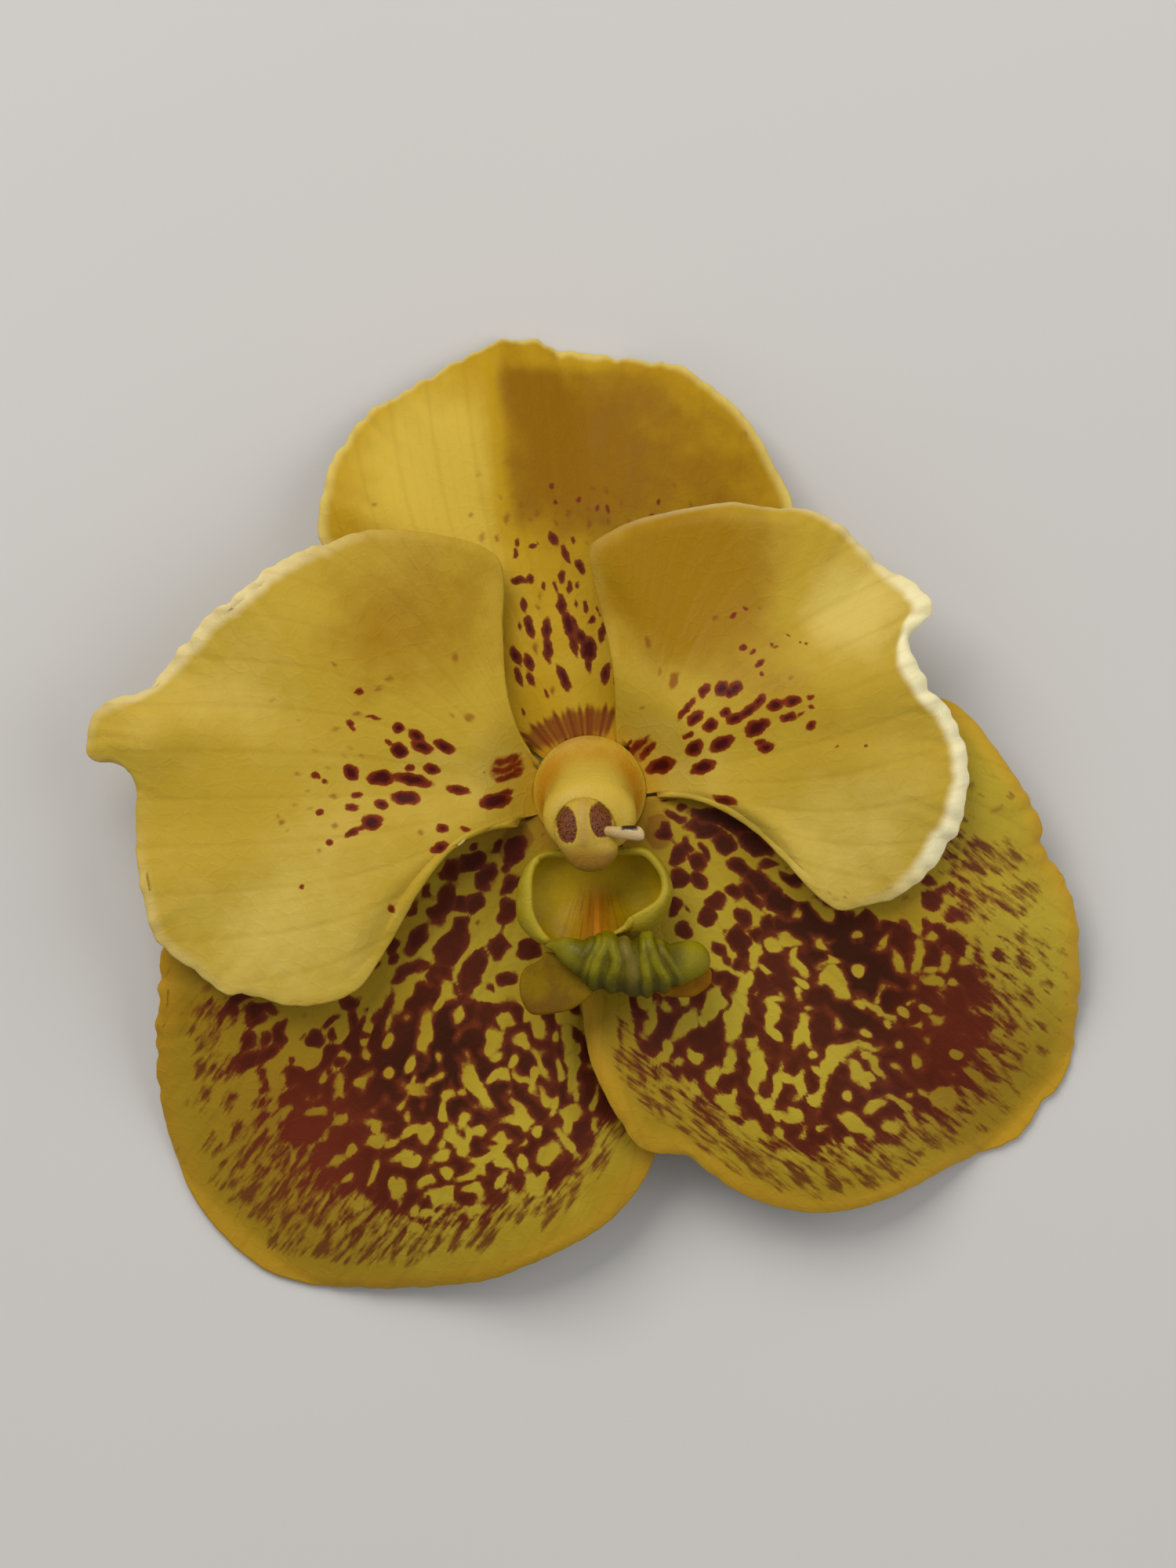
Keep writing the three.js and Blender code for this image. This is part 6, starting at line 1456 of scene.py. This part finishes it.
# Lip's flaps
# The thin ends of the folded lobe, which spread from under it: a broad yellow one at the left and a
# small brownish orange one at the right.
FLAP_ROWS = 30
FLAP_THICKNESS = 0.9
LEFT_FLAP = [
    [-4.5, -15.9], [-4.7, -16.5], [-5.5, -16.95], [-6.35, -17.4], [-6.85, -18.3], [-6.95, -19.4],
    [-6.7, -20.7], [-6, -21.8], [-5.1, -22.05], [-3.6, -21.9], [-2.2, -21.6], [-1.1, -21.05], [0, -20.2],
    [0.9, -19.2], [0.6, -17.8], [-1.5, -16.8], [-3.3, -16],
]
RIGHT_FLAP = [
    [7.4, -19], [8.6, -18], [10.2, -17.4], [11.5, -17.1], [12, -17.6], [12.1, -18.3], [11.9, -19.1],
    [11.2, -19.75], [10.2, -20.25], [8.8, -20.3], [7.6, -20.15], [6.9, -19.8],
]


def flap(name, outline, middle, slopes, cupped):
    """A thin flap over a closed outline, tilted by its slopes and cupped towards the viewer"""
    edge = closed(outline, np.linspace(0, 1, 141))[:, None]
    out = np.linspace(0, 1, FLAP_ROWS) ** 0.7
    share = np.concatenate([out, out[-2::-1]])
    plan = middle[:2] + (edge - middle[:2]) * share[:, None]
    height = middle[2] + (plan - middle[:2]) @ slopes + cupped * share**2
    side = np.where(np.arange(len(share)) < FLAP_ROWS, 1, -1) * np.sqrt(1 - share**8)
    points = np.concatenate([plan, (height + FLAP_THICKNESS / 2 * side)[..., None]], axis=-1)
    return sheet(name, points, low=-points[..., 1])


flap_left = flap("lip_flap_left", LEFT_FLAP, np.array([-3.5, -19, 6.2]), [0.22, -0.22], 0.4)
flap_right = flap("lip_flap_right", RIGHT_FLAP, np.array([9.6, -18.8, 6.6]), [-0.3, -0.2], -0.3)


def flap_colour(base, lighter, blush):
    def colour(tree, surface):
        flesh_tone = mottled(tree, surface, base, lighter)
        edge = times(tree, slope(tree, field(tree, "low"), 19.6, 21.6), 0.45)
        return tinted(tree, edge, flesh_tone, blush), None
    return colour


# The flaps' dark paints hold painted shade as well as their own olive and orange, as they lie under the lip's
# bar
yellow_flap = flap_colour(paint(112, 82, 0), paint(132, 102, 0), paint(96, 54, 0))
brown_flap = flap_colour(paint(132, 84, 0), paint(150, 102, 0), paint(120, 66, 8))
fit(flap_left, flesh("Left flap flesh", 0.6, yellow_flap, scale=1.8, soft=0.25, shine=0.08), "lip", "lip")
fit(flap_right, flesh("Right flap flesh", 0.6, brown_flap, scale=1.8, soft=0.25, shine=0.08), "lip", "lip")

# Floor, light and camera
# A plain pale table top under a large soft lamp, seen from straight above as in the photograph.
bpy.ops.mesh.primitive_plane_add(size=3, location=(0, 0, 0))
floor = bpy.context.object
floor.name = "floor"
floor_paint = bpy.data.materials.new("Pale table top")
floor_paint.use_nodes = True
floor_tree = floor_paint.node_tree
floor_shader = floor_tree.nodes["Principled BSDF"]
floor_place = node(floor_tree, "TexCoord", out="Object")
floor_noise = node(floor_tree, "TexNoise", {"Vector": floor_place, "Scale": 6.0, "Detail": 4.0})
floor_tint = tinted(floor_tree, floor_noise, paint(206, 202, 196), paint(214, 210, 204))
floor_tree.links.new(floor_tint, floor_shader.inputs["Base Color"])
floor_shader.inputs["Roughness"].default_value = 0.9
floor.data.materials.append(floor_paint)


def lamp(name, place, size, power, tint):
    light = bpy.data.lights.new(name, "AREA")
    light.size = size
    light.energy = power
    light.color = tint
    lit = bpy.data.objects.new(name, light)
    bpy.context.scene.collection.objects.link(lit)
    lit.location = place
    lit.rotation_euler = (-lit.location).to_track_quat("-Z", "Y").to_euler()


lamp("soft_key", (-0.3, 0.5, 0.6), 0.55, 4.6, (1, 0.98, 0.95))
lamp("soft_fill", (0.55, 0.1, 0.5), 0.6, 1.5, (1, 0.99, 0.97))
world = bpy.data.worlds.new("studio")
world.use_nodes = True
world.node_tree.nodes["Background"].inputs["Color"].default_value = (0.9, 0.93, 1, 1)
world.node_tree.nodes["Background"].inputs["Strength"].default_value = 0.35
bpy.context.scene.world = world
bpy.context.scene.view_settings.view_transform = "Standard"

# Millimetres to a pixel of the photograph, then places in it in pixels
PHOTO_PIXEL = 0.0787
PHOTO_HEIGHT = 2000
PHOTO_MIDDLE = (750, 1000)
FOOT_PIXEL = (752, 1010)
CAMERA_DISTANCE = 450
SENSOR_HEIGHT = 36
camera_data = bpy.data.cameras.new("camera")
camera_data.sensor_fit = "VERTICAL"
camera_data.sensor_height = SENSOR_HEIGHT
camera_data.lens = SENSOR_HEIGHT * CAMERA_DISTANCE / (PHOTO_PIXEL * PHOTO_HEIGHT)
camera = bpy.data.objects.new("camera", camera_data)
bpy.context.scene.collection.objects.link(camera)
aside = np.array([PHOTO_MIDDLE[0] - FOOT_PIXEL[0], FOOT_PIXEL[1] - PHOTO_MIDDLE[1], 0]) * PHOTO_PIXEL
camera.location = FOOT + (aside + [0, 0, CAMERA_DISTANCE]) * MM
bpy.context.scene.camera = camera
